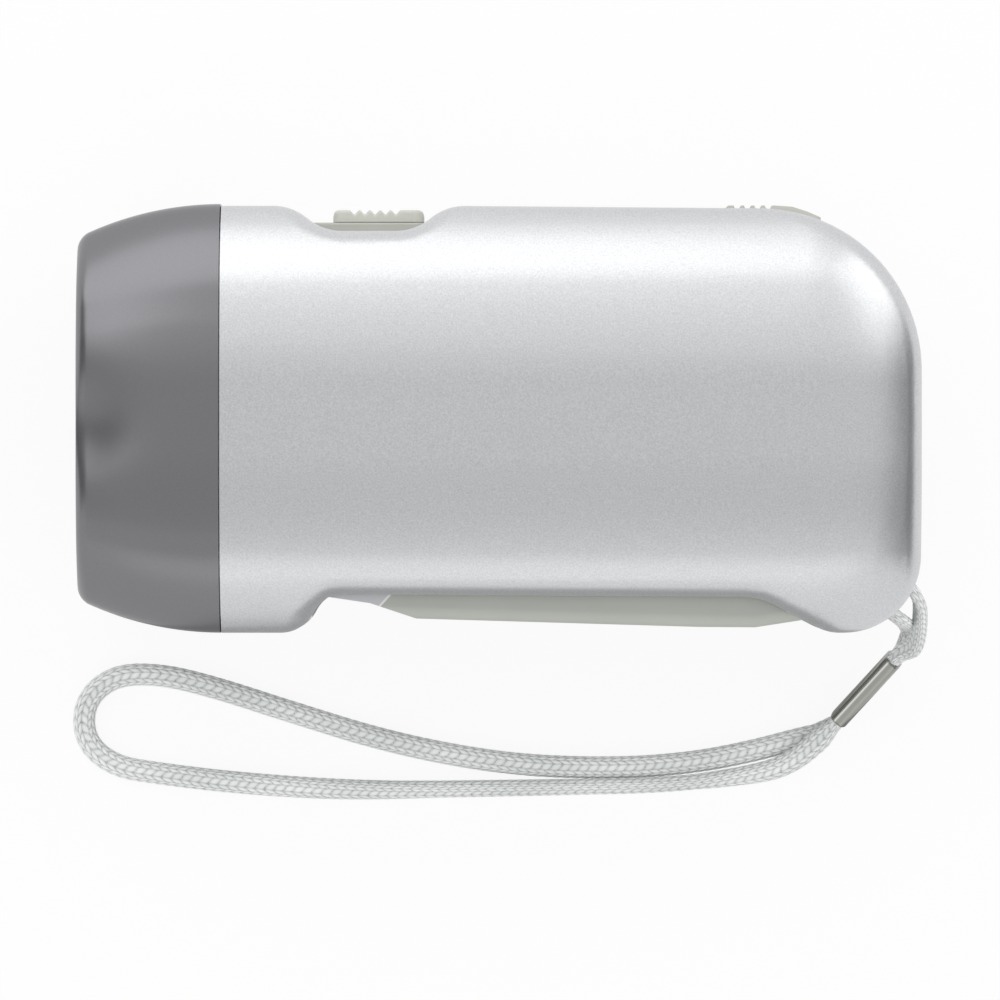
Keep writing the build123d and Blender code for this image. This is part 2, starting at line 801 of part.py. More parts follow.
def lever():
    """Squeeze lever: a deep channel with a hub, cross ribs and the socket for the sector."""
    profile = lever_profile()
    hub = slab(Pos(pivot_x, pivot_y) * Circle(hub_radius), -lever_half_width, lever_half_width)
    solid = slab(profile, -lever_half_width, lever_half_width)
    grip_edges = [
        edge for edge in solid.edges()
        if abs(abs(edge.center().Z) - lever_half_width) < 1e-4
        and edge.center().Y < bottom_y + 1.5 and edge.length > 5
    ]
    solid = fillet(grip_edges, lever_edge_round) + hub
    cavity = offset(profile, amount=-lever_skin, kind=Kind.INTERSECTION)
    inner_half = lever_half_width - lever_skin
    for lift in (0, 4, 8):
        solid -= slab(Pos(0, lift) * cavity, -inner_half, inner_half)
    solid -= rod(pivot_x, pivot_y, hub_radius + 1, -hub_inner_face, hub_inner_face)
    foot_low, foot_high, foot_y = sector_foot()
    for x in (foot_high + 6, foot_high + 14, foot_high + 22):
        rib = block(x, x + rib_thickness, bottom_y + 1.4, lever_wall_top - 4, -inner_half, inner_half)
        solid += rib & slab(profile, -inner_half, inner_half)
    cheek = sector_half_thickness + slide_gap
    socket = block(foot_low - 0.2, foot_high + 1, foot_y - 1, foot_y + 4, cheek, cheek + rib_thickness)
    solid += both_sides(socket)
    pin = (foot_low + foot_pin_forward, foot_y + foot_pin_up)
    solid -= rod(*pin, foot_pin_radius + press_gap, -5, 5)
    return solid - rod(pivot_x, pivot_y, lever_pin_radius + running_gap, -15, 15)


def sector_gear():
    """Toothed arm that rides on the lever and drives the first pinion."""
    pitch_angle = 360 / sector_full_teeth
    root = sector_radius - dedendum_factor * sector_module
    outer = [polar(pivot_x, pivot_y, root, sector_end_angle)]
    for tooth in range(sector_teeth_low, sector_teeth_high + 1):
        centre = sector_angle + tooth * pitch_angle
        for radius, angle in tooth_points(sector_module, sector_full_teeth, centre):
            outer.append(polar(pivot_x, pivot_y, radius, angle))
    back_start = sector_angle + (sector_teeth_high + 1) * pitch_angle
    outer.append(polar(pivot_x, pivot_y, root, back_start - 1))
    edges = [
        Polyline(*outer, polar(pivot_x, pivot_y, sector_back_radius, back_start)),
        CenterArc((pivot_x, pivot_y), sector_back_radius, back_start, sector_foot_angle - back_start),
        Line(
            polar(pivot_x, pivot_y, sector_back_radius, sector_foot_angle),
            polar(pivot_x, pivot_y, sector_inner_radius, sector_foot_angle),
        ),
        CenterArc(
            (pivot_x, pivot_y), sector_inner_radius,
            sector_end_angle, sector_foot_angle - sector_end_angle,
        ),
        Line(polar(pivot_x, pivot_y, sector_inner_radius, sector_end_angle), outer[0]),
    ]
    solid = slab(make_face(edges), -sector_half_thickness, sector_half_thickness)
    foot_low, foot_high, foot_y = sector_foot()
    half = sector_half_thickness
    solid += block(foot_low, foot_high, foot_y, foot_y + 3, -half, half)
    solid -= block(foot_low - 9, foot_high + 9, foot_y - 9, foot_y, -half - 1, half + 1)
    pin = (foot_low + foot_pin_forward, foot_y + foot_pin_up)
    solid -= rod(*pin, foot_pin_radius + press_gap, -half - 1, half + 1)
    notch_x = lock_tip_x() - lock_travel - side_gap
    solid -= block(
        notch_x, notch_x + 8, lock_tip_y - side_gap, lock_tip_y + lock_tip_height + side_gap,
        -half - 1, half + 1,
    )
    return solid


def sector_pin():
    """Cross pin through the sector's foot and the lever's socket."""
    foot_low, _, foot_y = sector_foot()
    length = sector_half_thickness + slide_gap + rib_thickness
    pin = (foot_low + foot_pin_forward, foot_y + foot_pin_up)
    return rod(*pin, foot_pin_radius, -length, length)


def return_spring():
    """Torsion spring round the lever pin: one leg by the gear plate, one by the lever's skin."""
    helix = Helix(
        pitch=spring_height / spring_turns, height=spring_height, radius=spring_radius, lefthand=True
    )
    coil = Pos(pivot_x, pivot_y, -spring_height / 2) * Rot(0, 0, 90) * helix
    start, end = coil @ 0, coil @ 1
    plate_leg = Line(start - (coil % 0) * spring_leg, start)
    lever_leg = Line(end, end + (coil % 1) * spring_leg)
    path = Wire([plate_leg, coil.edge(), lever_leg])
    section = Plane(origin=path @ 0, z_dir=path % 0) * Circle(spring_wire_radius)
    return sweep(section, path=path)


# ---------------------------------------------------------------- gear train

def gear_plate():
    """Flat plate under the gears that holds the first two axles."""
    low_x = plate_boss_places[0][0] - 3.2
    high_x = plate_boss_places[3][0] + 3.2
    low_y = plate_boss_places[3][1] - 2.1
    high_y = middle_axis[1] + 7.5
    plate = Pos((low_x + high_x) / 2, (low_y + high_y) / 2) * RectangleRounded(
        high_x - low_x, high_y - low_y, 3
    )
    plate -= Pos(*drive_axis) * Circle(drive_axle_radius + press_gap)
    plate -= Pos(*middle_axis) * Circle(middle_axle_radius + press_gap)
    plate -= Pos(*rotor_axis) * Circle(rotor_axle_radius + 3.0)
    for place in plate_boss_places:
        plate -= Pos(*place) * Circle(small_screw_radius + slide_gap)
    return slab(plate, plate_bottom, plate_top_level)


def plate_screws():
    """Four small screws that hold the gear plate."""
    screws = Part()
    for x, y in plate_boss_places:
        screws += rod(x, y, small_screw_head_radius, plate_top_level, plate_top_level + 1.2)
        screws += rod(x, y, small_screw_radius, plate_bottom - 5, plate_top_level)
    return screws


def drive_pinion():
    """First pinion with its ratchet disc and the spigot for the drive wheel."""
    tooth_angle = sector_angle + 180 + half_pitch(drive_pinion_teeth)
    solid = gear(
        drive_axis, sector_module, drive_pinion_teeth, tooth_angle,
        plate_top_level + 2 * slide_gap, drive_pinion_top,
    )
    saw = []
    for tooth in range(ratchet_teeth):
        angle = tooth * 360 / ratchet_teeth
        saw.append(polar(*drive_axis, ratchet_radius, angle))
        saw.append(polar(*drive_axis, ratchet_radius - ratchet_depth, angle + 1))
    disc = make_face(Polyline(*saw, close=True))
    solid += slab(disc, drive_pinion_top, drive_pinion_top + ratchet_thickness)
    solid += rod(*drive_axis, drive_spigot_radius, drive_pinion_top, drive_wheel_top)
    return solid - rod(*drive_axis, drive_axle_radius + running_gap, -9, 15)


def wheel(place, module, teeth, first_angle, z_low, z_high, bore):
    """A gear wheel with a thin web, a full rim and a hub."""
    solid = gear(place, module, teeth, first_angle, z_low, z_high)
    rim = module * teeth / 2 - dedendum_factor * module - 1.4
    hub = bore + 1.6
    web_gap = (z_high - z_low) / 4
    for low, high in ((z_low, z_low + web_gap), (z_high - web_gap, z_high)):
        solid -= tube(place[0], place[1], rim, hub, low, high)
    return solid - rod(place[0], place[1], bore, z_low - 1, z_high + 1)


def drive_wheel():
    """Large wheel that the ratchet turns."""
    bearing = bearing_between(drive_axis, middle_axis)
    return wheel(
        drive_axis, drive_wheel_module, drive_wheel_teeth, bearing,
        drive_wheel_bottom, drive_wheel_top, drive_spigot_radius + running_gap,
    )


def ratchet_pawls():
    """Two sprung pawls on the underside of the drive wheel."""
    low_x = ratchet_radius + pawl_clearance
    low_z = drive_pinion_top
    high_z = drive_pinion_top + ratchet_thickness + slide_gap
    tip_y = pawl_length / 2
    pawl = block(low_x, low_x + pawl_width, -tip_y, tip_y, low_z, high_z)
    pawl += block(low_x, low_x + 3 * pawl_width, tip_y - 3 * pawl_width, tip_y, low_z, high_z)
    return Pos(*drive_axis) * (pawl + Rot(0, 0, 180) * pawl)


def middle_gear():
    """Second stage: pinion, long hub and wheel in one moulding."""
    to_drive = bearing_between(middle_axis, drive_axis)
    to_rotor = bearing_between(middle_axis, rotor_axis)
    bore = middle_axle_radius + running_gap
    pinion = gear(
        middle_axis, drive_wheel_module, middle_pinion_teeth, to_drive + half_pitch(middle_pinion_teeth),
        drive_wheel_bottom - side_gap, middle_wheel_bottom,
    )
    body = wheel(
        middle_axis, middle_wheel_module, middle_wheel_teeth, to_rotor,
        middle_wheel_bottom, middle_wheel_top, bore,
    )
    hub = rod(*middle_axis, bore + 1, plate_top_level + 2 * slide_gap, drive_wheel_bottom)
    return pinion + body + hub - rod(*middle_axis, bore, -9, 15)


def rotor_pinion():
    """Last pinion with the long hub that carries the flywheel."""
    to_middle = bearing_between(rotor_axis, middle_axis)
    solid = gear(
        rotor_axis, middle_wheel_module, rotor_pinion_teeth, to_middle + half_pitch(rotor_pinion_teeth),
        rotor_pinion_bottom, rotor_pinion_top,
    )
    solid += rod(*rotor_axis, rotor_axle_radius + 1.0, flywheel_top, rotor_pinion_bottom)
    solid += rod(*rotor_axis, rotor_axle_radius + 2.4, flywheel_top, flywheel_top + 0.7)
    solid += rod(*rotor_axis, rotor_axle_radius + flywheel_bush_wall, stator_top + slide_gap, flywheel_top)
    return solid - rod(*rotor_axis, rotor_axle_radius + running_gap, -20, 20)


def flywheel():
    """Steel cup that carries the ring magnet."""
    low = flywheel_top - flywheel_height
    cup = rod(*rotor_axis, flywheel_radius, low, flywheel_top)
    cup -= rod(*rotor_axis, flywheel_radius - flywheel_wall, low, flywheel_top - flywheel_wall)
    return cup - rod(*rotor_axis, rotor_axle_radius + flywheel_bush_wall + press_gap, low, flywheel_top)


def ring_magnet():
    """Ring magnet inside the flywheel."""
    high = flywheel_top - flywheel_wall - slide_gap
    outer = flywheel_radius - flywheel_wall - press_gap
    return tube(*rotor_axis, outer, outer - magnet_thickness, high - magnet_height, high)


def claw_plate(upward):
    """Stator plate whose fingers stand round the winding."""
    disc_low = stator_base if upward else stator_top - claw_thickness
    disc = rod(*rotor_axis, stator_radius - claw_thickness, disc_low, disc_low + claw_thickness)
    finger_low = stator_base if upward else stator_base + claw_thickness + claw_tip_gap
    finger_high = stator_top - claw_thickness - claw_tip_gap if upward else stator_top
    for finger in range(claw_count):
        angle = (finger + (0 if upward else 0.5)) * 360 / claw_count
        shape = block(
            stator_radius - 2 * claw_thickness, stator_radius + 1,
            -claw_finger_half_width, claw_finger_half_width, finger_low, finger_high,
        )
        ring = tube(0, 0, stator_radius, stator_radius - claw_thickness - 0.01, finger_low, finger_high)
        disc += Pos(*rotor_axis) * Rot(0, 0, angle) * (shape & ring)
    return disc - rod(*rotor_axis, rotor_axle_radius + 1.2, -20, 0)


def bobbin():
    """Plastic spool between the claw plates."""
    low = stator_base + claw_thickness
    high = stator_top - claw_thickness
    flange = stator_radius - claw_thickness - side_gap
    spool = rod(*rotor_axis, flange, low, low + bobbin_flange)
    spool += rod(*rotor_axis, flange, high - bobbin_flange, high)
    spool += rod(*rotor_axis, bobbin_core_radius, low, high)
    return spool - rod(*rotor_axis, rotor_axle_radius + 2.2, low, high)


def winding():
    """Copper winding on the bobbin."""
    low = stator_base + claw_thickness + bobbin_flange
    high = stator_top - claw_thickness - bobbin_flange
    outer = stator_radius - claw_thickness - 2 * side_gap
    return tube(*rotor_axis, outer, bobbin_core_radius, low, high)


def stator_core():
    """Iron tube through the stator, round the rotor axle."""
    return tube(
        *rotor_axis, rotor_axle_radius + 1.15, rotor_axle_radius + press_gap, stator_base, stator_top
    )


def axles():
    """The three fixed gear axles and the lever's pin, by name."""
    return {
        "drive_axle": rod(*drive_axis, drive_axle_radius, plate_bottom, drive_wheel_top + axle_grip),
        "middle_axle": rod(*middle_axis, middle_axle_radius, plate_bottom, middle_wheel_top + axle_grip),
        "rotor_axle": rod(
            *rotor_axis, rotor_axle_radius, wall - half_thickness, rotor_pinion_top + axle_grip
        ),
        "lever_pin": rod(
            pivot_x, pivot_y, lever_pin_radius,
            -lever_half_width - axle_grip, lever_half_width + axle_grip,
        ),
    }


# ---------------------------------------------------------------- switch and lock

def knob_stem_range():
    """X range of the stem under the switch knob."""
    middle = knob_front_x + knob_length / 2
    return middle - knob_stem_length / 2, middle + knob_stem_length / 2


def ridge_grooves(first_x, count, top, half_width):
    """Finger grooves across a slider, at an even pitch."""
    grooves = Part()
    for step in range(count):
        grooves += rod(first_x + step * ridge_pitch, top, ridge_radius, -half_width - 1, half_width + 1)
    return grooves


def switch_plate():
    """Fixed plate that the switch knob slides on."""
    low = plate_front_x
    high = plate_front_x + plate_length
    plate = block(low, high, plate_low_y, plate_top, -plate_half_width, plate_half_width)
    plate = fillet(plate.edges().filter_by(Axis.Y), 1.0)
    plate = fillet(plate.faces().sort_by(Axis.Y)[-1].edges(), 0.3)
    stem_low, stem_high = knob_stem_range()
    half = knob_stem_half_width + side_gap
    return plate - block(
        stem_low - switch_travel - side_gap, stem_high + side_gap, 0, half_height, -half, half
    )


def switch_knob():
    """Ridged slider of the on-off switch, drawn at the rear end of its travel."""
    low = knob_front_x
    high = knob_front_x + knob_length
    base = plate_top + slide_gap
    cap = block(low, high, base, knob_top, -knob_half_width, knob_half_width)
    cap = fillet(cap.edges().filter_by(Axis.Y), 1.2)
    cap = fillet(cap.faces().sort_by(Axis.Y)[-1].edges(), 0.35)
    cap -= ridge_grooves(low + 2.65, ridge_count, knob_top, knob_half_width)
    stem_low, stem_high = knob_stem_range()
    half = knob_stem_half_width
    return cap + block(stem_low, stem_high, plate_low_y - wall, base, -half, half)


def slide_switch():
    """Small slide switch under the plate, with a groove for the knob's stem."""
    stem_low, stem_high = knob_stem_range()
    top = plate_low_y - wall / 2 - slide_gap
    body = block(stem_low - 4.5, stem_high + 2.5, top - 5, top, -2.8, 2.8)
    half = knob_stem_half_width + side_gap
    return body - block(
        stem_low - switch_travel - side_gap, stem_high + side_gap,
        top - 1.8, top + 1, -half, half,
    )


def lock_stem_range():
    """X range of the stem under the lock slider."""
    return lock_front_x + 2.75, lock_front_x + 6.75


def lock_tip_x():
    """Front end of the lock's hook when the lock is off."""
    ring_dy = lock_tip_y + lock_tip_height - pivot_y
    return pivot_x - sqrt(sector_inner_radius ** 2 - ring_dy ** 2) + 1.0


def lock_slider():
    """Ridged lever lock, drawn off; pushed forward, its hook enters the sector's notch."""
    low = lock_front_x
    top = half_height
    points = (
        (low, lock_base),
        (low, top - 0.5),
        (low + 0.5, top),
        (low + 6.3, top),
        (low + 8.5, top - 0.15),
        (low + 10.4, top - 0.75),
        (low + lock_length, lock_base + 0.25),
        (low + lock_length, lock_base),
    )
    cap = slab(make_face(Polyline(*points, close=True)), -lock_half_width, lock_half_width)
    cap = fillet(cap.edges().filter_by(Axis.Y), 1.0)
    cap -= ridge_grooves(low + 1.65, ridge_count - 1, top, lock_half_width)
    stem_low, stem_high = lock_stem_range()
    half = lock_bar_half_width
    bar_top = lock_base - slide_gap - lock_seat_depth - slide_gap
    bar_low = bar_top - lock_bar_thickness
    leg_x = lock_tip_x() + 6.1
    solid = cap + block(stem_low, stem_high, bar_low, lock_base, -half, half)
    solid += block(leg_x, stem_high, bar_low, bar_top, -half, half)
    solid += block(leg_x, leg_x + 2, lock_tip_y, bar_top, -half, half)
    return solid + block(lock_tip_x(), leg_x, lock_tip_y, lock_tip_y + lock_tip_height, -half, half)


# ---------------------------------------------------------------- electrics

def circuit_board():
    """Board on the lower shell's posts."""
    (x_low, x_high), (y_low, y_high) = circuit_x, circuit_y
    board = block(x_low, x_high, y_low, y_high, circuit_level, circuit_level + circuit_thickness)
    board = fillet(board.edges().filter_by(Axis.Z), 1.0)
    for x, y in circuit_posts:
        hole = post_pin_radius + slide_gap
        board -= rod(x, y, hole, circuit_level - 1, circuit_level + circuit_thickness + 1)
    return board


def coin_cell():
    """Rechargeable coin cell with its stepped edge."""
    base = circuit_level + circuit_thickness + slide_gap
    cell = rod(*cell_place, cell_radius - 0.9, base, base + cell_height)
    return cell + rod(*cell_place, cell_radius, base + 0.5, base + cell_height)


def cell_clip():
    """Sprung strip over the coin cell, with a foot at each end."""
    x, y = cell_place
    base = circuit_level + circuit_thickness
    top = base + slide_gap + cell_height + slide_gap
    reach = cell_radius + 2 * clip_thickness
    low_y, high_y = y - clip_half_width, y + clip_half_width
    clip = block(x - reach, x + reach, low_y, high_y, base, top + clip_thickness)
    inner = reach - clip_thickness
    return clip - block(x - inner, x + inner, low_y - 1, high_y + 1, base - 1, top)


def diodes():
    """Four rectifier diodes in a row beside the cell."""
    level = circuit_level + circuit_thickness + diode_radius + running_gap
    group = Part()
    for step in range(4):
        place = Pos(circuit_x[0] + 1.4, circuit_y[0] + 2.6 + diode_pitch * step, level)
        group += place * Rot(0, 90, 0) * Cylinder(diode_radius, diode_length, align=BASE)
    return group


def capacitor():
    """Small round capacitor standing on the board."""
    base = circuit_level + circuit_thickness
    place = (circuit_x[0] + 3.4, circuit_y[1] - 2.9)
    return rod(*place, capacitor_radius, base, base + capacitor_height)


# ---------------------------------------------------------------- strap

def strap_bar():
    """Short steel bar across the notch, for the strap."""
    return rod(
        strap_bar_x, strap_bar_y, strap_bar_radius, -strap_bar_half_length, strap_bar_half_length
    )


def ferrule_plane():
    """Section plane at the lower end of the ferrule, with its height near upright."""
    axis = (Vector(*ferrule_top) - Vector(*ferrule_end)).normalized()
    across = axis.cross(Vector(0, 0, 1)).normalized()
    return Plane(origin=ferrule_end, x_dir=across, z_dir=axis)


def ferrule_length():
    """Length of the ferrule along its axis."""
    return (Vector(*ferrule_top) - Vector(*ferrule_end)).length


def ferrule_inner(trim):
    """Inner section of the ferrule, less a trim all round."""
    width = ferrule_width - 2 * ferrule_sheet - 2 * trim
    height = ferrule_height - 2 * ferrule_sheet - 2 * trim
    return RectangleRounded(width, height, 0.5)


def strap_ferrule():
    """Folded metal crimp, open along its upper side."""
    ring = RectangleRounded(ferrule_width, ferrule_height, 0.8) - ferrule_inner(0)
    ring -= Pos(0, ferrule_height / 2) * Rectangle(ferrule_slot, 2)
    return extrude(ferrule_plane() * ring, amount=ferrule_length())


def braid_in_ferrule():
    """The stretch of braid that the ferrule grips."""
    return extrude(ferrule_plane() * ferrule_inner(press_gap), amount=ferrule_length())


def cord_radii(points):
    """Arc radii for a route: 0.45 of the shorter run over the tangent of half the turn."""
    radii = []
    for before, here, after in zip(points, points[1:], points[2:]):
        run_in = Vector(*here) - Vector(*before)
        run_out = Vector(*after) - Vector(*here)
        turn = radians(run_in.get_angle(run_out))
        radii.append(0.45 * min(run_in.length, run_out.length) / tan(turn / 2))
    return radii


def cord(points, radii, name):
    """A round cord along straight runs joined by tangent arcs; prints its length and radii."""
    path = FilletPolyline(*points, radius=radii)
    section = Plane(origin=path @ 0, z_dir=path % 0) * Circle(cord_diameter / 2)
    solid = sweep(section, path=path)
    section_volume = pi * (cord_diameter / 2) ** 2 * path.length
    print(f"{name}: length {path.length:.1f}, volume over section times length "
          f"{solid.volume / section_volume:.4f}")
    print("  radii " + " ".join(f"{radius:.1f}" for radius in radii))
    return solid


def hang_loop():
    """The short loop from the ferrule round the strap bar and back."""
    radii = cord_radii(hang_points)
    radii[4] = hang_radii_at_bar
    radii[5] = hang_radii_at_bar
    return cord(hang_points, radii, "hang_loop")


def wrist_loop():
    """The wrist loop, lying on the table."""
    return cord(wrist_points, cord_radii(wrist_points), "wrist_loop")


# ---------------------------------------------------------------- build

def lifted(shape):
    """A shape drawn about the seam plane, lifted so that the torch lies on the table."""
    return Pos(0, 0, half_thickness) * shape


def build():
    """All pieces by name, in the final frame."""
    form = half_form(0, joint_x)
    base = shell_base(form)
    pieces = {
        "shell_upper": shell_upper(form, base),
        "shell_lower": shell_lower(form, base),
        "shell_screws": shell_screws(),
        "bezel": bezel(),
        "lens": lens(),
        "reflector": reflector(),
        "lamp_board": lamp_board(),
        "lamps": lamps(),
        "lever": lever(),
        "sector_gear": sector_gear(),
        "sector_pin": sector_pin(),
        "return_spring": return_spring(),
        "gear_plate": gear_plate(),
        "plate_screws": plate_screws(),
        "drive_pinion": drive_pinion(),
        "drive_wheel": drive_wheel(),
        "ratchet_pawls": ratchet_pawls(),
        "middle_gear": middle_gear(),
        "rotor_pinion": rotor_pinion(),
        "flywheel": flywheel(),
        "ring_magnet": ring_magnet(),
        "claw_plate_lower": claw_plate(True),
        "claw_plate_upper": claw_plate(False),
        "bobbin": bobbin(),
        "winding": winding(),
        "stator_core": stator_core(),
        "switch_plate": switch_plate(),
        "switch_knob": switch_knob(),
        "slide_switch": slide_switch(),
        "lock_slider": lock_slider(),
        "circuit_board": circuit_board(),
        "coin_cell": coin_cell(),
        "cell_clip": cell_clip(),
        "diodes": diodes(),
        "capacitor": capacitor(),
        "strap_bar": strap_bar(),
    }
    pieces.update(axles())
    placed = {name: lifted(shape) for name, shape in pieces.items()}
    placed["strap_ferrule"] = strap_ferrule()
    placed["braid_in_ferrule"] = braid_in_ferrule()
    placed["hang_loop"] = hang_loop()
    placed["wrist_loop"] = wrist_loop()
    return placed


os.makedirs("parts", exist_ok=True)
for name, shape in build().items():
    export_step(shape, f"parts/{name}.step")
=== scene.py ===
import json
import math

import bmesh
import bpy
import numpy as np
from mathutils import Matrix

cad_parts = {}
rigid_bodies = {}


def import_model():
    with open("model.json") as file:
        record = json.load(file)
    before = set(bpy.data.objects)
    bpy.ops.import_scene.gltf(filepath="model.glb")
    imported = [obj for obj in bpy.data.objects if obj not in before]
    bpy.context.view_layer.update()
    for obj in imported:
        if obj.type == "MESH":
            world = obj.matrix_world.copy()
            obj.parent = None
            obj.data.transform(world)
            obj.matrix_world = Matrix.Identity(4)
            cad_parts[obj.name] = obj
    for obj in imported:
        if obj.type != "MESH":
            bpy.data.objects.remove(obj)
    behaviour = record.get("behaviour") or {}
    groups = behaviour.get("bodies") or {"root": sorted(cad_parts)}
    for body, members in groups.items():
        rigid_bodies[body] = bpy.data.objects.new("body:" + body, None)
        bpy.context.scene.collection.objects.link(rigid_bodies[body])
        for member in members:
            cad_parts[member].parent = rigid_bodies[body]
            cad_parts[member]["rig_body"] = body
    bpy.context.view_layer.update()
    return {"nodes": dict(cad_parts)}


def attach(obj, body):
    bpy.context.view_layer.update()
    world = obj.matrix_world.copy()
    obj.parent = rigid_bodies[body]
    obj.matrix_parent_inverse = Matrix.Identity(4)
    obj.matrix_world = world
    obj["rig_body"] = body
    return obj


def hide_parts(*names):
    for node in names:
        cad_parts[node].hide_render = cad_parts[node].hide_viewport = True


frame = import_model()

MM = 0.001

# The camera looks straight down on the torch as it lies on its side.
PHOTO_CENTRE = (0.13 * MM, -10.19 * MM)
SEAM_Z = 21.5 * MM
CAMERA_HEIGHT = 1.3
FRAME_WIDTH = 0.1258
SENSOR_WIDTH = 36.0

# Centre lines of the strap, chosen from the photograph: the short loop and the wrist loop.
HANG_POINTS = (
    (50.57, -30.09, 5.62), (52.71, -27.7, 6.74), (52.0, -26.2, 9.8), (50.9, -25.4, 14.2),
    (50.5, -25.24, 21.5), (45.75, -21.73, 21.5), (48.18, -18.43, 21.5), (52.93, -21.96, 21.5),
    (53.3, -25.6, 15.2), (52.9, -28.7, 11.4), (51.29, -29.3, 8.64), (50.03, -30.71, 7.98),
)
WRIST_POINTS = (
    (43.67, -37.79, 2.02), (41.72, -39.97, 1.0), (38.6, -40.6, 1.0), (32.3, -42.3, 1.0),
    (24.5, -43.8, 1.0), (14.5, -44.5, 1.0), (1.0, -44.0, 1.0), (-13.5, -41.3, 1.0),
    (-26.5, -37.3, 1.0), (-36.0, -34.2, 1.0), (-43.3, -32.4, 1.0), (-49.3, -32.6, 1.0),
    (-53.0, -35.9, 1.0), (-53.0, -40.9, 1.0), (-49.3, -44.2, 1.0), (-43.0, -45.2, 1.0),
    (-33.0, -46.4, 1.0), (-19.0, -47.3, 1.0), (-4.5, -47.1, 1.0), (9.5, -46.85, 1.0),
    (21.5, -46.6, 1.0), (31.2, -45.5, 1.0), (36.8, -44.2, 1.7), (41.18, -40.59, 3.36),
    (43.13, -38.41, 4.38),
)
# How far the braid is rolled over, as (share of its length, degrees).
HANG_ROLL = ((0.0, 0), (1.0, 0))
WRIST_ROLL = (
    (0.0, 0), (0.03, 0), (0.52, 0), (0.62, 20), (0.74, 62), (0.9, 70), (0.97, 20), (1.0, 0),
)
FIRST_ACROSS = (0.75, -0.66, 0.0)
BRAID_WIDTH, BRAID_THICKNESS = 2.8 * MM, 1.5 * MM
GRIPPED_WIDTH, GRIPPED_THICKNESS = 1.7 * MM, 1.9 * MM

# Noise scales, in features per metre.
CLOUD_SCALE = 140.0
GRAIN_SCALE = 9000.0


# ---------------------------------------------------------------- node helpers

def new_finish(name):
    """A material with its node tree and Principled shader."""
    finish = bpy.data.materials.new(name)
    finish.use_nodes = True
    tree = finish.node_tree
    return finish, tree, tree.nodes["Principled BSDF"]


def set_inputs(node, **values):
    """Set a node's inputs by name, with _ for a space."""
    for name, value in values.items():
        node.inputs[name.replace("_", " ")].default_value = value


def add(tree, kind, **values):
    """A node of a kind, with its inputs set by name."""
    node = tree.nodes.new(kind)
    set_inputs(node, **values)
    return node


def calculate(tree, operation, *terms):
    """A maths node's value; each term is a number or another node's output."""
    node = tree.nodes.new("ShaderNodeMath")
    node.operation = operation
    for socket, term in zip(node.inputs, terms):
        if isinstance(term, bpy.types.NodeSocket):
            tree.links.new(term, socket)
        else:
            socket.default_value = term
    return node.outputs["Value"]


def object_place(tree):
    """The Object coordinates."""
    return tree.nodes.new("ShaderNodeTexCoord").outputs["Object"]


def object_noise(tree, scale, detail=2.0):
    """A noise value on Object coordinates; scale is features per metre."""
    noise = add(tree, "ShaderNodeTexNoise", Scale=scale, Detail=detail)
    tree.links.new(object_place(tree), noise.inputs["Vector"])
    return noise.outputs["Fac"]


def point_value(tree, label):
    """A value that is stored at the points of a piece."""
    node = tree.nodes.new("ShaderNodeAttribute")
    node.attribute_name = label
    return node.outputs["Fac"]


def ramp(tree, source, stops):
    """A colour ramp over a value; stops are (position, colour) pairs."""
    node = tree.nodes.new("ShaderNodeValToRGB")
    elements = node.color_ramp.elements
    while len(elements) < len(stops):
        elements.new(0.5)
    for element, (position, colour) in zip(elements, stops):
        element.position = position
        element.color = (*colour, 1)
    tree.links.new(source, node.inputs["Fac"])
    return node.outputs["Color"]


def multiply(tree, one, other):
    """The product of two colours."""
    mix = tree.nodes.new("ShaderNodeMix")
    mix.data_type = "RGBA"
    mix.blend_type = "MULTIPLY"
    mix.inputs["Factor"].default_value = 1.0
    tree.links.new(one, mix.inputs["A"])
    tree.links.new(other, mix.inputs["B"])
    return mix.outputs["Result"]


def bump(tree, shader, source, depth):
    """Surface relief from a value, to a depth in metres, on top of what the shader has."""
    node = add(tree, "ShaderNodeBump", Strength=1.0, Distance=depth)
    tree.links.new(source, node.inputs["Height"])
    if shader.inputs["Normal"].links:
        tree.links.new(shader.inputs["Normal"].links[0].from_socket, node.inputs["Normal"])
    tree.links.new(node.outputs["Normal"], shader.inputs["Normal"])


def shade(colour, factor):
    """A colour made lighter or darker."""
    return tuple(min(1.0, c * factor) for c in colour)


def srgb(red, green, blue):
    """Linear colour from 0 to 255 display values."""
    values = (np.array((red, green, blue)) / 255.0).tolist()
    return tuple(v / 12.92 if v <= 0.04045 else ((v + 0.055) / 1.055) ** 2.4 for v in values)


def tint(tree, shader, colour_output):
    """Take the base colour from another node."""
    tree.links.new(colour_output, shader.inputs["Base Color"])


def spread_ramp(tree, source, colour, low, high):
    """Colour that swings between darker and lighter with a value."""
    return ramp(tree, source, ((0.25, shade(colour, low)), (0.75, shade(colour, high))))


def uneven_gloss(tree, shader, source, roughness, swing):
    """Roughness that swings both ways by a share of itself with a value."""
    low, high = roughness * (1 - swing), roughness * (1 + swing)
    rough = ramp(tree, source, ((0.3, (low,) * 3), (0.7, (high,) * 3)))
    tree.links.new(rough, shader.inputs["Roughness"])


# ---------------------------------------------------------------- finishes

def moulded_plastic(name, colour, roughness, grain=GRAIN_SCALE, depth=4e-6, coat=0.0):
    """Moulded plastic: slight cloudiness, a fine spark-eroded grain and uneven gloss."""
    finish, tree, shader = new_finish(name)
    cloud = object_noise(tree, CLOUD_SCALE, 3.0)
    tint(tree, shader, spread_ramp(tree, cloud, colour, 0.965, 1.035))
    uneven_gloss(tree, shader, object_noise(tree, 2600.0), roughness, 0.12)
    bump(tree, shader, object_noise(tree, grain), depth)
    set_inputs(shader, Coat_Weight=coat, Coat_Roughness=0.2)
    return finish


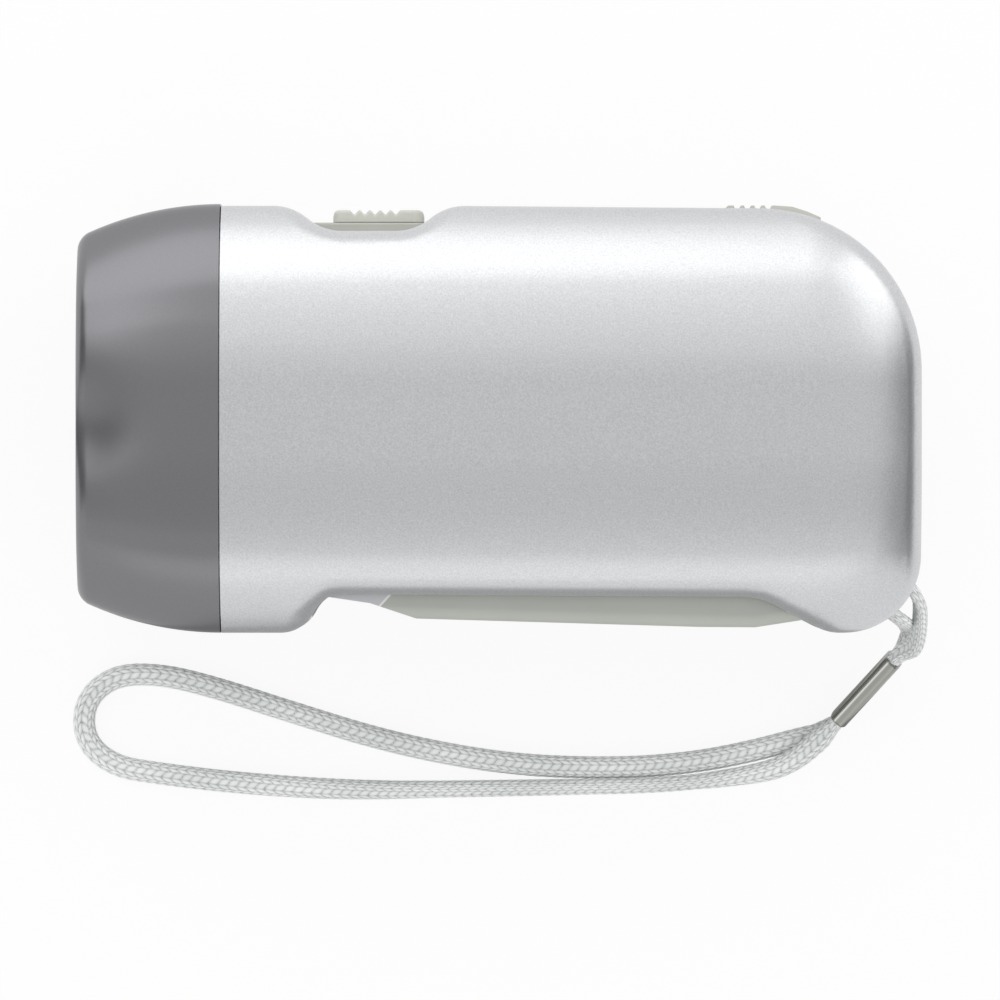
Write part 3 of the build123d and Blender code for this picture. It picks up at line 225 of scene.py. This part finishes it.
def bare_metal(name, colour, roughness, scale=3000.0, depth=2e-6):
    """Drawn, turned or plated metal: a faint fine mottling with uneven gloss."""
    finish, tree, shader = new_finish(name)
    mottle = object_noise(tree, scale, 3.0)
    tint(tree, shader, spread_ramp(tree, mottle, colour, 0.9, 1.08))
    uneven_gloss(tree, shader, mottle, roughness, 0.2)
    bump(tree, shader, mottle, depth)
    set_inputs(shader, Metallic=1.0)
    return finish


def silver_lacquer():
    """Satin silver lacquer: aluminium flakes under a clear coat, over faintly rippled moulding."""
    finish, tree, shader = new_finish("silver_lacquer")
    flakes = object_noise(tree, 5200.0)
    tint(tree, shader, spread_ramp(tree, flakes, srgb(206, 207, 209), 0.87, 1.13))
    bump(tree, shader, flakes, 9e-6)
    bump(tree, shader, object_noise(tree, 420.0), 1.2e-5)
    set_inputs(shader, Metallic=0.9, Roughness=0.34, Coat_Weight=0.12, Coat_Roughness=0.25)
    return finish


def bezel_grey():
    """Satin grey of the bezel: a metallic grey lacquer, smoother than the shells'."""
    finish, tree, shader = new_finish("bezel_grey")
    flakes = object_noise(tree, 8000.0)
    tint(tree, shader, spread_ramp(tree, flakes, srgb(126, 126, 129), 0.93, 1.07))
    bump(tree, shader, flakes, 3e-6)
    set_inputs(shader, Metallic=0.78, Roughness=0.3)
    return finish


def clear_window(name, colour, roughness):
    """Clear moulded plastic that light passes through."""
    finish, tree, shader = new_finish(name)
    haze = object_noise(tree, 900.0)
    tint(tree, shader, ramp(tree, haze, ((0.3, shade(colour, 0.985)), (0.7, colour))))
    bump(tree, shader, haze, 1e-6)
    set_inputs(shader, Transmission_Weight=1.0, Roughness=roughness, IOR=1.49)
    return finish


def wound_wire():
    """Enamelled copper wire, wound in even turns, with painted shade darkening the grooves between
    the turns.
    """
    finish, tree, shader = new_finish("wound_wire")
    turns = add(tree, "ShaderNodeTexWave", Scale=1600.0, Distortion=0.6)
    turns.bands_direction = "Z"
    tree.links.new(object_place(tree), turns.inputs["Vector"])
    # Colour swings from 0.55 to 1.1 along the turns: painted shade between them.
    tint(tree, shader, spread_ramp(tree, turns.outputs["Fac"], (0.58, 0.2, 0.07), 0.55, 1.1))
    bump(tree, shader, turns.outputs["Fac"], 5e-5)
    set_inputs(shader, Metallic=0.8, Roughness=0.3)
    return finish


def crimp_metal():
    """Plated sheet of the crimp: dull on its faces, with painted shade, dark olive, in the seam's
    groove and a painted highlight, near white, along the rolled bead beside it.
    """
    finish, tree, shader = new_finish("crimp_metal")
    # The seam value is low in the groove, for painted shade, and high on the bead, for a painted
    # highlight.
    tint(tree, shader, ramp(tree, point_value(tree, "seam_painted_light"), (
        (0.0, srgb(92, 86, 52)), (0.3, srgb(150, 150, 144)),
        (0.75, srgb(166, 166, 162)), (1.0, srgb(246, 245, 240)),
    )))
    bump(tree, shader, object_noise(tree, 2500.0), 5e-6)
    set_inputs(shader, Metallic=1.0, Roughness=0.3)
    return finish


def lever_grey():
    """Moulded grey of the lever, paler on the tongue, with a painted highlight: a light line between
    the tongue and the grip.

    The colour goes by X - 0.9 Y in the lever's own space, so that the line slants.
    """
    finish, tree, shader = new_finish("lever_grey")
    # tongue and grip are the lever's two greys; line is a painted highlight between them.
    tongue, line, grip = srgb(206, 208, 211), srgb(240, 241, 240), srgb(186, 189, 181)
    split = tree.nodes.new("ShaderNodeSeparateXYZ")
    tree.links.new(object_place(tree), split.inputs["Vector"])
    slanted = calculate(tree, "MULTIPLY_ADD", split.outputs["Y"], -0.9, split.outputs["X"])
    reach = add(tree, "ShaderNodeMapRange", From_Min=4.2 * MM, From_Max=8.2 * MM)
    tree.links.new(slanted, reach.inputs["Value"])
    tone = ramp(tree, reach.outputs["Result"], (
        (0.0, tongue), (0.44, tongue), (0.47, line), (0.53, line), (0.56, grip), (1.0, grip),
    ))
    cloud = spread_ramp(tree, object_noise(tree, CLOUD_SCALE, 3.0), (1.0,) * 3, 0.96, 1.0)
    tint(tree, shader, multiply(tree, tone, cloud))
    bump(tree, shader, object_noise(tree, GRAIN_SCALE), 4e-6)
    set_inputs(shader, Roughness=0.42)
    return finish


def woven_braid():
    """Polyester braid: glossy strands with fine filaments, with painted shade darkening the hollows
    between them.
    """
    finish, tree, shader = new_finish("woven_braid")
    # By strand height: painted shade, down to a grey-olive, in the hollows between strands; the
    # crowns keep the strap's near-white.
    base = ramp(tree, point_value(tree, "strand_height"), (
        (0.0, srgb(136, 138, 128)), (0.4, srgb(208, 210, 208)),
        (0.75, srgb(243, 245, 246)), (1.0, srgb(254, 254, 254)),
    ))
    tone = ramp(tree, point_value(tree, "strand_tone"), (
        (0.0, (0.84, 0.86, 0.85)), (1.0, (1.0, 1.0, 1.0)),
    ))
    tint(tree, shader, multiply(tree, base, tone))
    bump(tree, shader, object_noise(tree, GRAIN_SCALE), 2e-5)
    set_inputs(shader, Roughness=0.36, Sheen_Weight=0.1)
    return finish


FINISHES = {
    "silver": silver_lacquer(),
    "bezel": bezel_grey(),
    "lever": lever_grey(),
    "slider": moulded_plastic("slider_grey", srgb(201, 201, 193), 0.45),
    # The switch plate is darker than the slider: painted shade, for the shadow of the dip it sits
    # in.
    "plate": moulded_plastic("plate_grey_painted_shade", srgb(180, 181, 172), 0.45),
    "nylon": moulded_plastic("gear_nylon", srgb(226, 224, 214), 0.4),
    "black": moulded_plastic("black_plastic", srgb(28, 28, 29), 0.5),
    "board": moulded_plastic("board_green", srgb(40, 96, 62), 0.35, coat=0.4),
    "ferrite": moulded_plastic("sintered_ferrite", srgb(62, 61, 62), 0.6, grain=6000.0, depth=1e-5),
    "lens": clear_window("clear_lens", (0.97, 0.985, 0.99), 0.02),
    "lamp": clear_window("lamp_clear", (0.96, 0.97, 0.98), 0.04),
    "mirror": bare_metal("mirror_plating", (0.86, 0.86, 0.87), 0.07, scale=300.0, depth=5e-7),
    "steel": bare_metal("bright_steel", (0.56, 0.56, 0.56), 0.28),
    "spring": bare_metal("spring_steel", (0.42, 0.42, 0.43), 0.3, scale=5000.0),
    "crimp": crimp_metal(),
    "copper": wound_wire(),
    "braid": woven_braid(),
}


# ---------------------------------------------------------------- piece helpers

def wear(obj, finish):
    """Give a piece one finish over all its faces."""
    obj.data.materials.clear()
    obj.data.materials.append(FINISHES[finish])


def mesh_points(mesh):
    """The points of a mesh, one row each."""
    points = np.zeros(len(mesh.vertices) * 3, np.float32)
    mesh.vertices.foreach_get("co", points)
    return points.reshape(-1, 3).astype(float)


def arc_drop(radius, off):
    """How far an arc has fallen at a distance from its top: R - sqrt(R^2 - d^2)."""
    return radius - np.sqrt(radius ** 2 - off ** 2)


def eased(share):
    """A share from 0 to 1 with a soft start and end: 3 t^2 - 2 t^3."""
    return share * share * (3 - 2 * share)


def superellipse(turn, power):
    """Round a unit superellipse: cosine and sine, each to a power with its sign kept."""
    return [np.sign(wave) * np.abs(wave) ** power for wave in (np.cos(turn), np.sin(turn))]


def skin(node, finish):
    """A merged copy of a CAD node with rounded shading, which stands for the node."""
    source = frame["nodes"][node]
    welded = bmesh.new()
    welded.from_mesh(source.data)
    bmesh.ops.remove_doubles(welded, verts=welded.verts, dist=2e-6)
    bmesh.ops.dissolve_degenerate(welded, edges=welded.edges, dist=1e-7)
    raw = bpy.data.meshes.new(node + "_welded")
    welded.to_mesh(raw)
    welded.free()
    # A fresh mesh leaves the CAD's own normals and edge marks behind.
    mesh = bpy.data.meshes.new(node + "_skin")
    mesh.from_pydata(mesh_points(raw).tolist(), [], [tuple(face.vertices) for face in raw.polygons])
    bpy.data.meshes.remove(raw)
    mesh.shade_smooth()
    mesh.set_sharp_from_angle(angle=math.radians(30.0))
    obj = bpy.data.objects.new(node + "_skin", mesh)
    bpy.context.scene.collection.objects.link(obj)
    even = obj.modifiers.new("even_normals", "WEIGHTED_NORMAL")
    even.keep_sharp = True
    even.weight = 80
    wear(obj, finish)
    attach(obj, source["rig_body"])
    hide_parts(node)
    return obj


def closed_piece(name, verts, faces, finish, body, sharp=None):
    """A piece from points and faces, turned outward; edges over sharp degrees stay hard."""
    mesh = bpy.data.meshes.new(name)
    mesh.from_pydata(verts.tolist(), [], faces)
    turned = bmesh.new()
    turned.from_mesh(mesh)
    bmesh.ops.recalc_face_normals(turned, faces=turned.faces)
    turned.to_mesh(mesh)
    turned.free()
    mesh.shade_smooth()
    if sharp is not None:
        mesh.set_sharp_from_angle(angle=math.radians(sharp))
    obj = bpy.data.objects.new(name, mesh)
    bpy.context.scene.collection.objects.link(obj)
    wear(obj, finish)
    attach(obj, body)
    return obj


def rings_piece(name, rings, finish, body, tips=None, sharp=None):
    """A piece from closed rings in a row, each end closed by a fan to its tip point."""
    rows, columns, _ = rings.shape
    if tips is None:
        tips = [rings[0].mean(0), rings[-1].mean(0)]
    verts = np.concatenate([rings.reshape(-1, 3), tips])
    row, column = np.meshgrid(np.arange(rows - 1), np.arange(columns), indexing="ij")
    start, after = row * columns, (column + 1) % columns
    quads = np.stack([
        start + column, start + after, start + columns + after, start + columns + column,
    ], -1)
    ring = np.arange(columns)
    ahead = np.roll(ring, -1)
    last = (rows - 1) * columns
    near = np.stack([ahead, ring, np.full(columns, rows * columns)], -1)
    far = np.stack([ring + last, ahead + last, np.full(columns, rows * columns + 1)], -1)
    faces = quads.reshape(-1, 4).tolist() + near.tolist() + far.tolist()
    return closed_piece(name, verts, faces, finish, body, sharp)


def store_value(obj, label, values, tip_value):
    """Store a value at each point of a rings piece, and one value at both its tips."""
    attribute = obj.data.attributes.new(label, "FLOAT", "POINT")
    values = np.append(values.ravel(), [tip_value, tip_value]).astype(np.float32)
    attribute.data.foreach_set("value", values)


# ---------------------------------------------------------------- bezel

def outer_loop(node, level_x, samples):
    """The outer outline of a CAD node's section at level_x, as (y, z) at even steps round it.

    A point counts as outer when none within nearby radians of it lies a wall further out.
    """
    nearby, wall = 0.12, 1.1 * MM
    points = mesh_points(frame["nodes"][node].data)
    points = points[np.abs(points[:, 0] - level_x) < 0.01 * MM, 1:] - (0, SEAM_Z)
    angle = np.arctan2(points[:, 1], points[:, 0])
    radius = np.hypot(points[:, 0], points[:, 1])
    gap = np.abs(np.angle(np.exp(1j * (angle[:, None] - angle[None, :]))))
    outer = radius > np.where(gap < nearby, radius[None, :], 0).max(1) - wall
    points = points[outer][np.argsort(angle[outer])]
    points = np.concatenate([points, points[:1]])
    reach = np.concatenate([[0], np.hypot(*np.diff(points, axis=0).T).cumsum()])
    at = np.linspace(0, reach[-1], samples, endpoint=False)
    return np.stack([np.interp(at, reach, points[:, 0]), np.interp(at, reach, points[:, 1])], -1)


def bezel_shell():
    """The bezel as one surface.

    Round it goes the CAD's own outline, and along it a profile of (x, depth inward): the side,
    which draws in to the front by R - sqrt(R^2 - d^2), a quarter round at the front edge, the lip
    and the inner wall.  Each wide side has a thumb hollow at the front, a Gaussian dip.
    """
    back, front = -34.75 * MM, -52.6 * MM
    front_round = 1.4 * MM
    lip_start, lip_depth, lip_round, lip_length = 2.4 * MM, 3.4 * MM, 0.15 * MM, 1.2 * MM
    inner_depth, rim_depth = 1.8 * MM, 0.4 * MM
    arc_start, arc_radius, half_height = -34.6 * MM, 41.0 * MM, 26.75 * MM
    hollow_depth, hollow_length = 1.5 * MM, 6.5 * MM
    hollow_y, hollow_width = -1.4 * MM, 6.4 * MM
    fade_depth, wide_side = 2.0 * MM, 10 * MM

    loop = outer_loop("bezel", back, 360)
    for _ in range(2):
        loop = 0.25 * np.roll(loop, -1, 0) + 0.5 * loop + 0.25 * np.roll(loop, 1, 0)
    along = np.roll(loop, -1, 0) - np.roll(loop, 1, 0)
    normal = np.stack([along[:, 1], -along[:, 0]], -1)
    normal /= np.linalg.norm(normal, axis=1)[:, None]

    side = np.linspace(back, front + front_round, 60)
    bend = np.linspace(0, np.pi / 2, 12)[1:]
    round_x = front + front_round - front_round * np.sin(bend)
    round_depth = front_round - front_round * np.cos(bend)
    x, depth = np.concatenate([
        np.stack([side, np.zeros_like(side)], -1),
        np.stack([round_x, round_depth], -1),
        np.array([
            (front, lip_start), (front, lip_depth - lip_round), (front + lip_round, lip_depth),
            (front + lip_length, lip_depth), (front + lip_length, inner_depth),
            (back, inner_depth), (back, rim_depth),
        ]),
    ]).T

    factor = 1 - arc_drop(arc_radius, x - arc_start) / half_height
    place = loop[None] * factor[:, None, None] - normal[None] * depth[:, None, None]
    y, from_seam = place[..., 0], place[..., 1]
    outside = np.clip(1 - depth / fade_depth, 0, 1)
    hollow = hollow_depth * np.exp(-((x - front) / hollow_length) ** 2)[:, None] * outside[:, None]
    hollow = hollow * np.exp(-((y - hollow_y) / hollow_width) ** 2)
    hollow = hollow * (np.abs(from_seam) > wide_side)
    z = from_seam - np.sign(from_seam) * hollow + SEAM_Z

    rows, columns = y.shape
    verts = np.stack([np.broadcast_to(x[:, None], y.shape), y, z], -1).reshape(-1, 3)
    row, column = np.meshgrid(np.arange(rows), np.arange(columns), indexing="ij")
    start, next_start = row * columns, (row + 1) % rows * columns
    after = (column + 1) % columns
    quads = np.stack([start + column, next_start + column, next_start + after, start + after], -1)
    shell = closed_piece(
        "bezel_shell", verts, quads.reshape(-1, 4).tolist(), "bezel", "housing", sharp=35.0,
    )
    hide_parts("bezel")
    return shell


# ---------------------------------------------------------------- switch cap

def switch_cap():
    """The switch's slider: a block whose top carries five V grooves.

    Along it the top drops by a rounded end, R - sqrt(R^2 - d^2), and by each groove's V with
    eased sides; across it the section is a rectangle with rounded upper corners.
    """
    low, high = -20.8 * MM, -9.4 * MM
    base, top, half_width = 24.7 * MM, 26.2 * MM, 3.4 * MM
    end_round, corner_round, edge_round = 0.75 * MM, 1.2 * MM, 0.4 * MM
    grooves, first_groove, pitch = 5, 2.65 * MM, 1.3 * MM
    groove_half, groove_depth = 0.65 * MM, 0.52 * MM

    x = np.unique(np.concatenate([
        np.linspace(low, low + corner_round, 14),
        np.linspace(low + corner_round, high - corner_round, 190),
        np.linspace(high - corner_round, high, 14),
    ]))
    into = np.minimum(x - low, high - x)
    drop = arc_drop(end_round, np.clip(end_round - into, 0, end_round))
    narrow = arc_drop(corner_round, np.clip(corner_round - into, 0, corner_round * 0.999))
    centre = low + first_groove + pitch * np.arange(grooves)
    off = np.abs(x[:, None] - centre).min(1) / groove_half
    drop = drop + groove_depth * eased(np.clip(1 - off, 0, 1))

    # The section: a foot, a half-way point and 7 points of the edge round, on each side.
    bend = np.linspace(0, np.pi / 2, 7)
    turned_in, turned_down = edge_round * (1 - np.cos(bend)), edge_round * (1 - np.sin(bend))
    across = np.repeat([-1.0, 1.0], 9)
    inward = np.concatenate([[0, 0], turned_in, turned_in[::-1], [0, 0]])
    sink = np.concatenate([[0, 0], turned_down, turned_down[::-1], [0, 0]])
    down = np.concatenate([[1.0, 0.5], np.zeros(14), [0.5, 1.0]])
    height = (top - drop)[:, None]
    y = height - sink - down * (height - edge_round - base) - edge_round * (down > 0)
    z = SEAM_Z + across * ((half_width - narrow)[:, None] - inward)
    rings = np.stack([np.broadcast_to(x[:, None], y.shape), y, z], -1)
    cap = rings_piece("switch_cap", rings, "slider", "switch", sharp=40.0)
    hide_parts("switch_knob")
    return cap


# ---------------------------------------------------------------- strap

def strap_crimp():
    """The strap's crimp: a flattened sleeve with a rolled seam along its upper side.

    The section is a superellipse; the seam is a groove and a bead beside it, each a Gaussian
    along the section.
    """
    ends = np.array([(43.4, -38.1, 3.2), (50.3, -30.4, 6.8)]) * MM
    fit, squareness = 0.97, 0.55
    groove_at, groove_width, groove_depth = 0.62, 0.09, 0.35 * MM
    bead_at, bead_width = 0.28, 0.15
    stations = np.array([-1.0, -0.985, -0.96, -0.5, 0.0, 0.5, 0.96, 0.985, 1.0])
    swell = np.array([0.86, 0.95, 1.0, 1.0, 1.0, 1.0, 1.0, 0.95, 0.86])

    points = mesh_points(frame["nodes"]["strap_ferrule"].data)
    middle = (points.min(0) + points.max(0)) / 2
    along = (ends[1] - ends[0]) / np.linalg.norm(ends[1] - ends[0])
    wide = np.cross((0, 0, 1), along)
    wide /= np.linalg.norm(wide)
    up = np.cross(along, wide)
    axes = np.stack([along, wide, up])
    local = (points - middle) @ axes.T
    low, high = local.min(0), local.max(0)
    middle = middle + (low + high) / 2 @ axes
    half_length, half_width, half_thickness = (high - low) / 2

    turn = np.linspace(0, 2 * np.pi, 120, endpoint=False)
    square_x, square_y = superellipse(turn, squareness)
    u = half_width * fit * square_x
    v = half_thickness * fit * square_y
    upper = np.sin(turn) > 0
    groove = np.exp(-((u / half_width - groove_at) / groove_width) ** 2) * upper
    bead = np.exp(-((u / half_width - bead_at) / bead_width) ** 2) * upper
    v = v - groove_depth * groove
    # Seam value: lower in the groove for painted shade, higher on the bead for a painted highlight.
    seam_light_and_shade = 0.5 + 0.5 * bead - 0.5 * groove
    rings = (
        middle + (half_length * stations)[:, None, None] * along
        + (swell[:, None] * u)[..., None] * wide + (swell[:, None] * v)[..., None] * up
    )
    crimp = rings_piece("strap_crimp", rings, "crimp", "housing", sharp=40.0)
    store_value(crimp, "seam_painted_light", np.tile(seam_light_and_shade, len(stations)), 0.5)
    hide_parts("strap_ferrule")
    return crimp


def centre_line(points):
    """Points along the smooth NURBS line through a strap's control points."""
    curve = bpy.data.curves.new("strap_line", "CURVE")
    curve.dimensions = "3D"
    curve.resolution_u = 24
    spline = curve.splines.new("NURBS")
    spline.points.add(len(points) - 1)
    for control, place in zip(spline.points, points):
        control.co = (*[value * MM for value in place], 1)
    spline.order_u = 3
    spline.use_endpoint_u = True
    holder = bpy.data.objects.new("strap_line", curve)
    mesh = bpy.data.meshes.new_from_object(holder)
    line = np.array([vertex.co for vertex in mesh.vertices], float)
    bpy.data.meshes.remove(mesh)
    bpy.data.objects.remove(holder)
    bpy.data.curves.remove(curve)
    return line


def even_steps(line, step):
    """The line again with points an even step apart, and the distance along it."""
    along = np.concatenate([[0], np.cumsum(np.linalg.norm(np.diff(line, axis=0), axis=1))])
    at = np.linspace(0, along[-1], int(along[-1] / step) + 1)
    return np.stack([np.interp(at, along, line[:, k]) for k in range(3)], axis=1), at


def carried_frames(line, first_across):
    """Across and outward directions, carried along the line without twist."""
    tangent = np.gradient(line, axis=0)
    tangent /= np.linalg.norm(tangent, axis=1)[:, None]
    across = np.zeros_like(line)
    current = np.array(first_across, float)
    for i, direction in enumerate(tangent):
        current = current - (current @ direction) * direction
        current /= np.linalg.norm(current)
        across[i] = current
    return across, np.cross(tangent, across)


def braid(name, points, node, roll_stops):
    """A flat braid along a line, with its centre line and length.

    The section is a superellipse, width by thickness, with a shallow Gaussian groove down the
    middle of each flat side.  Sixteen columns of strands run round it.  In each column the
    strands slant the opposite way to the next, so two columns make a chevron: the height of a
    strand is the arch sqrt(1 - x^2), with x across the slanting strand, times the arch across
    its column.
    """
    step, around, squareness = 0.136 * MM, 64, 0.75
    taper_length, above_floor = 3.5 * MM, 0.02 * MM
    groove_depth, groove_width, groove_side = 0.16, 0.16, 0.4
    columns, plait, slant, column_arch = 16, 1.2 * MM, 0.3, 0.8
    relief_height, relief_zero = 0.15 * MM, 0.75

    line, along = even_steps(centre_line(points), step)
    across, outward = carried_frames(line, FIRST_ACROSS)
    stops = np.array(roll_stops, float)
    roll = np.radians(np.interp(along / along[-1], stops[:, 0], stops[:, 1]))[:, None]
    side = across * np.cos(roll) + outward * np.sin(roll)
    up = outward * np.cos(roll) - across * np.sin(roll)
    from_end = np.minimum(along, along[-1] - along)
    opened = eased(np.clip(from_end / taper_length, 0, 1))
    width = GRIPPED_WIDTH + (BRAID_WIDTH - GRIPPED_WIDTH) * opened
    thick = GRIPPED_THICKNESS + (BRAID_THICKNESS - GRIPPED_THICKNESS) * opened

    turn = np.linspace(0, 2 * np.pi, around, endpoint=False)
    flat_x, flat_y = superellipse(turn, squareness)
    on_flat = np.abs(flat_y) > groove_side
    groove = 1 - groove_depth * np.exp(-(flat_x / groove_width) ** 2) * on_flat
    place = turn / (2 * np.pi) * columns + 0.5
    column = np.floor(place) % columns
    x = 2 * (place - np.floor(place)) - 1
    lean = np.where(column % 2 == 0, 1.0, -1.0)
    phase = along[:, None] / plait + slant * lean * x + 0.5 * (column % 4 > 1)
    strand = 2 * (phase - np.floor(phase)) - 1
    arch = np.sqrt(np.clip(1 - strand ** 2, 0, 1)) * np.sqrt(np.clip(1 - column_arch * x ** 2, 0, 1))
    relief = relief_height * (arch - relief_zero)

    u = (width / 2)[:, None] * flat_x * (groove ** 0.2) + relief * np.cos(turn)
    v = (thick / 2)[:, None] * flat_y * groove + relief * np.sin(turn)
    rings = line[:, None, :] + side[:, None, :] * u[..., None] + up[:, None, :] * v[..., None]
    rings[..., 2] = np.maximum(rings[..., 2], above_floor)
    obj = rings_piece(name, rings, "braid", "housing", tips=[line[0], line[-1]])

    # Each strand has a tone of its own, scattered by two sines of its number.
    strand_number = np.floor(phase) * 7.0 + column * 3.0
    tone = 0.5 + 0.5 * np.sin(strand_number * 12.9898 + 4.1) * np.cos(strand_number * 0.37)
    store_value(obj, "strand_height", arch, 0.3)
    store_value(obj, "strand_tone", tone, 0.3)
    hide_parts(node)
    return obj, line, float(along[-1])


# ---------------------------------------------------------------- camera

camera_data = bpy.data.cameras.new("camera")
camera = bpy.data.objects.new("camera", camera_data)
bpy.context.scene.collection.objects.link(camera)
camera.location = (*PHOTO_CENTRE, SEAM_Z + CAMERA_HEIGHT)
camera_data.sensor_width = SENSOR_WIDTH
camera_data.lens = SENSOR_WIDTH * CAMERA_HEIGHT / FRAME_WIDTH
camera_data.clip_start = 0.05
camera_data.clip_end = 20.0
bpy.context.scene.camera = camera

# ---------------------------------------------------------------- the pieces, placed

ferrule = strap_crimp()
gripped = skin("braid_in_ferrule", "braid")
wrist, wrist_line, wrist_length = braid("wrist_braid", WRIST_POINTS, "wrist_loop", WRIST_ROLL)
hang, hang_line, hang_length = braid("hang_braid", HANG_POINTS, "hang_loop", HANG_ROLL)

for node, finish, slot in (
    ("shell_upper", "silver", "silver_shell"),
    ("shell_lower", "silver", "silver_shell"),
    ("lens", "lens", "clear_lens"),
    ("reflector", "mirror", "mirror_plating"),
    ("lamps", "lamp", "lamp_clear"),
    ("lever", "lever", "grey_lever"),
    ("switch_plate", "plate", "slider_grey"),
    ("lock_slider", "slider", "slider_grey"),
    ("shell_screws", "steel", "steel"),
    ("strap_bar", "steel", "steel"),
    ("return_spring", "spring", "spring_steel"),
):
    skin(node, finish)

switch_cap()
bezel_shell()

# The pieces inside keep the CAD's own surface.
for finish, nodes in {
    "board": ("lamp_board", "circuit_board"),
    "nylon": (
        "gear_plate", "sector_gear", "drive_pinion", "drive_wheel", "ratchet_pawls",
        "middle_gear", "rotor_pinion", "bobbin",
    ),
    "steel": (
        "plate_screws", "drive_axle", "middle_axle", "rotor_axle", "lever_pin", "sector_pin",
        "claw_plate_lower", "claw_plate_upper", "stator_core", "flywheel", "coin_cell",
    ),
    "spring": ("cell_clip",),
    "ferrite": ("ring_magnet",),
    "copper": ("winding",),
    "black": ("slide_switch", "diodes", "capacitor"),
}.items():
    for node in nodes:
        wear(frame["nodes"][node], finish)


# ---------------------------------------------------------------- floor, world and lamps

def seen_rays(tree):
    """1 for camera, glossy and transmission rays, else 0."""
    rays = tree.nodes.new("ShaderNodeLightPath")
    seen = calculate(tree, "MAXIMUM", rays.outputs["Is Camera Ray"], rays.outputs["Is Glossy Ray"])
    return calculate(tree, "MAXIMUM", seen, rays.outputs["Is Transmission Ray"])


def stage_finish(name):
    """A material with an empty node tree, and the socket that takes its shader."""
    finish = bpy.data.materials.new(name)
    finish.use_nodes = True
    tree = finish.node_tree
    tree.nodes.clear()
    output = tree.nodes.new("ShaderNodeOutputMaterial")
    return finish, tree, output.inputs["Surface"]


def stage_sheet(name, corners, finish):
    """A flat sheet between four corners."""
    mesh = bpy.data.meshes.new(name)
    mesh.from_pydata(corners, [], [(0, 1, 2, 3)])
    mesh.materials.append(finish)
    sheet = bpy.data.objects.new(name, mesh)
    bpy.context.scene.collection.objects.link(sheet)
    return sheet


def level_corners(low, high, level):
    """Corners of a level sheet, from its low corner to its high one."""
    return [
        (low[0], low[1], level), (high[0], low[1], level),
        (high[0], high[1], level), (low[0], high[1], level),
    ]


def pale_floor():
    """White floor that keeps a faint shadow of the torch: where it is seen, 0.9 of it glows."""
    reach, level, glow = 6.0, -0.05 * MM, 0.9
    finish, tree, surface = stage_finish("pale_floor")
    matt = add(tree, "ShaderNodeBsdfDiffuse", Color=(0.9, 0.9, 0.9, 1))
    bright = add(tree, "ShaderNodeEmission", Color=(1, 1, 1, 1), Strength=1.0)
    blend = tree.nodes.new("ShaderNodeMixShader")
    tree.links.new(calculate(tree, "MULTIPLY", seen_rays(tree), glow), blend.inputs["Fac"])
    tree.links.new(matt.outputs["BSDF"], blend.inputs[1])
    tree.links.new(bright.outputs["Emission"], blend.inputs[2])
    tree.links.new(blend.outputs["Shader"], surface)
    floor = stage_sheet("floor", level_corners((-reach, -reach), (reach, reach), level), finish)


def studio_world(level):
    """Plain world light: white where it is seen, and a plain level where it lights."""
    world = bpy.data.worlds.new("studio")
    bpy.context.scene.world = world
    world.use_nodes = True
    tree = world.node_tree
    background = tree.nodes["Background"]
    set_inputs(background, Color=(1, 1, 1, 1))
    strength = add(tree, "ShaderNodeMapRange", To_Min=level, To_Max=1.0)
    tree.links.new(seen_rays(tree), strength.inputs["Value"])
    tree.links.new(strength.outputs["Result"], background.inputs["Strength"])


def soft_lamp(name, place, size, power):
    """A rectangular softbox aimed at the torch; power in watts."""
    data = bpy.data.lights.new(name, "AREA")
    data.shape = "RECTANGLE"
    data.size, data.size_y = size
    data.energy = power
    lamp = bpy.data.objects.new(name, data)
    lamp.location = place
    aim = np.array((0.0, 0.0, 0.02)) - np.array(place)
    lamp.rotation_euler = (
        math.atan2(math.hypot(aim[0], aim[1]), -aim[2]),
        0.0,
        math.atan2(aim[1], aim[0]) - math.pi / 2,
    )
    bpy.context.scene.collection.objects.link(lamp)


def reflector_card(name, corners, brightness):
    """A plain card beside the set that shows only as a reflection."""
    finish, tree, surface = stage_finish(name)
    glow = add(tree, "ShaderNodeEmission", Color=(1, 1, 1, 1), Strength=brightness)
    tree.links.new(glow.outputs["Emission"], surface)
    card = stage_sheet(name, corners, finish)
    card.visible_camera = False
    card.visible_diffuse = False
    card.visible_shadow = False
    card.visible_transmission = False


def flat_card(name, low, high, level, brightness):
    """A reflector card lying level."""
    reflector_card(name, level_corners(low, high, level), brightness)


def upright_card(name, x, low_y, high_y, top, brightness):
    """A reflector card standing on the floor, square to X."""
    corners = [(x, low_y, 0), (x, high_y, 0), (x, high_y, top), (x, low_y, top)]
    reflector_card(name, corners, brightness)


pale_floor()
studio_world(0.86)
flat_card("overhead_card", (-1.6, -0.62), (1.6, 0.16), 1.05, 0.66)
flat_card("near_card", (-0.05, -0.3), (0.05, -0.028), 0.0004, 0.42)
upright_card("rear_card", 0.5, -0.3, 0.16, 0.36, 0.12)
upright_card("front_card", -0.5, -0.06, 0.2, 0.42, 0.1)
soft_lamp("key", (-0.3, 0.5, 0.4), (1.0, 0.62), 1.75)
soft_lamp("fill", (0.0, -0.46, 0.42), (0.8, 0.16), 0.14)
soft_lamp("side", (0.5, 0.42, 0.42), (0.5, 0.35), 0.68)

bpy.context.scene.view_settings.view_transform = "Standard"
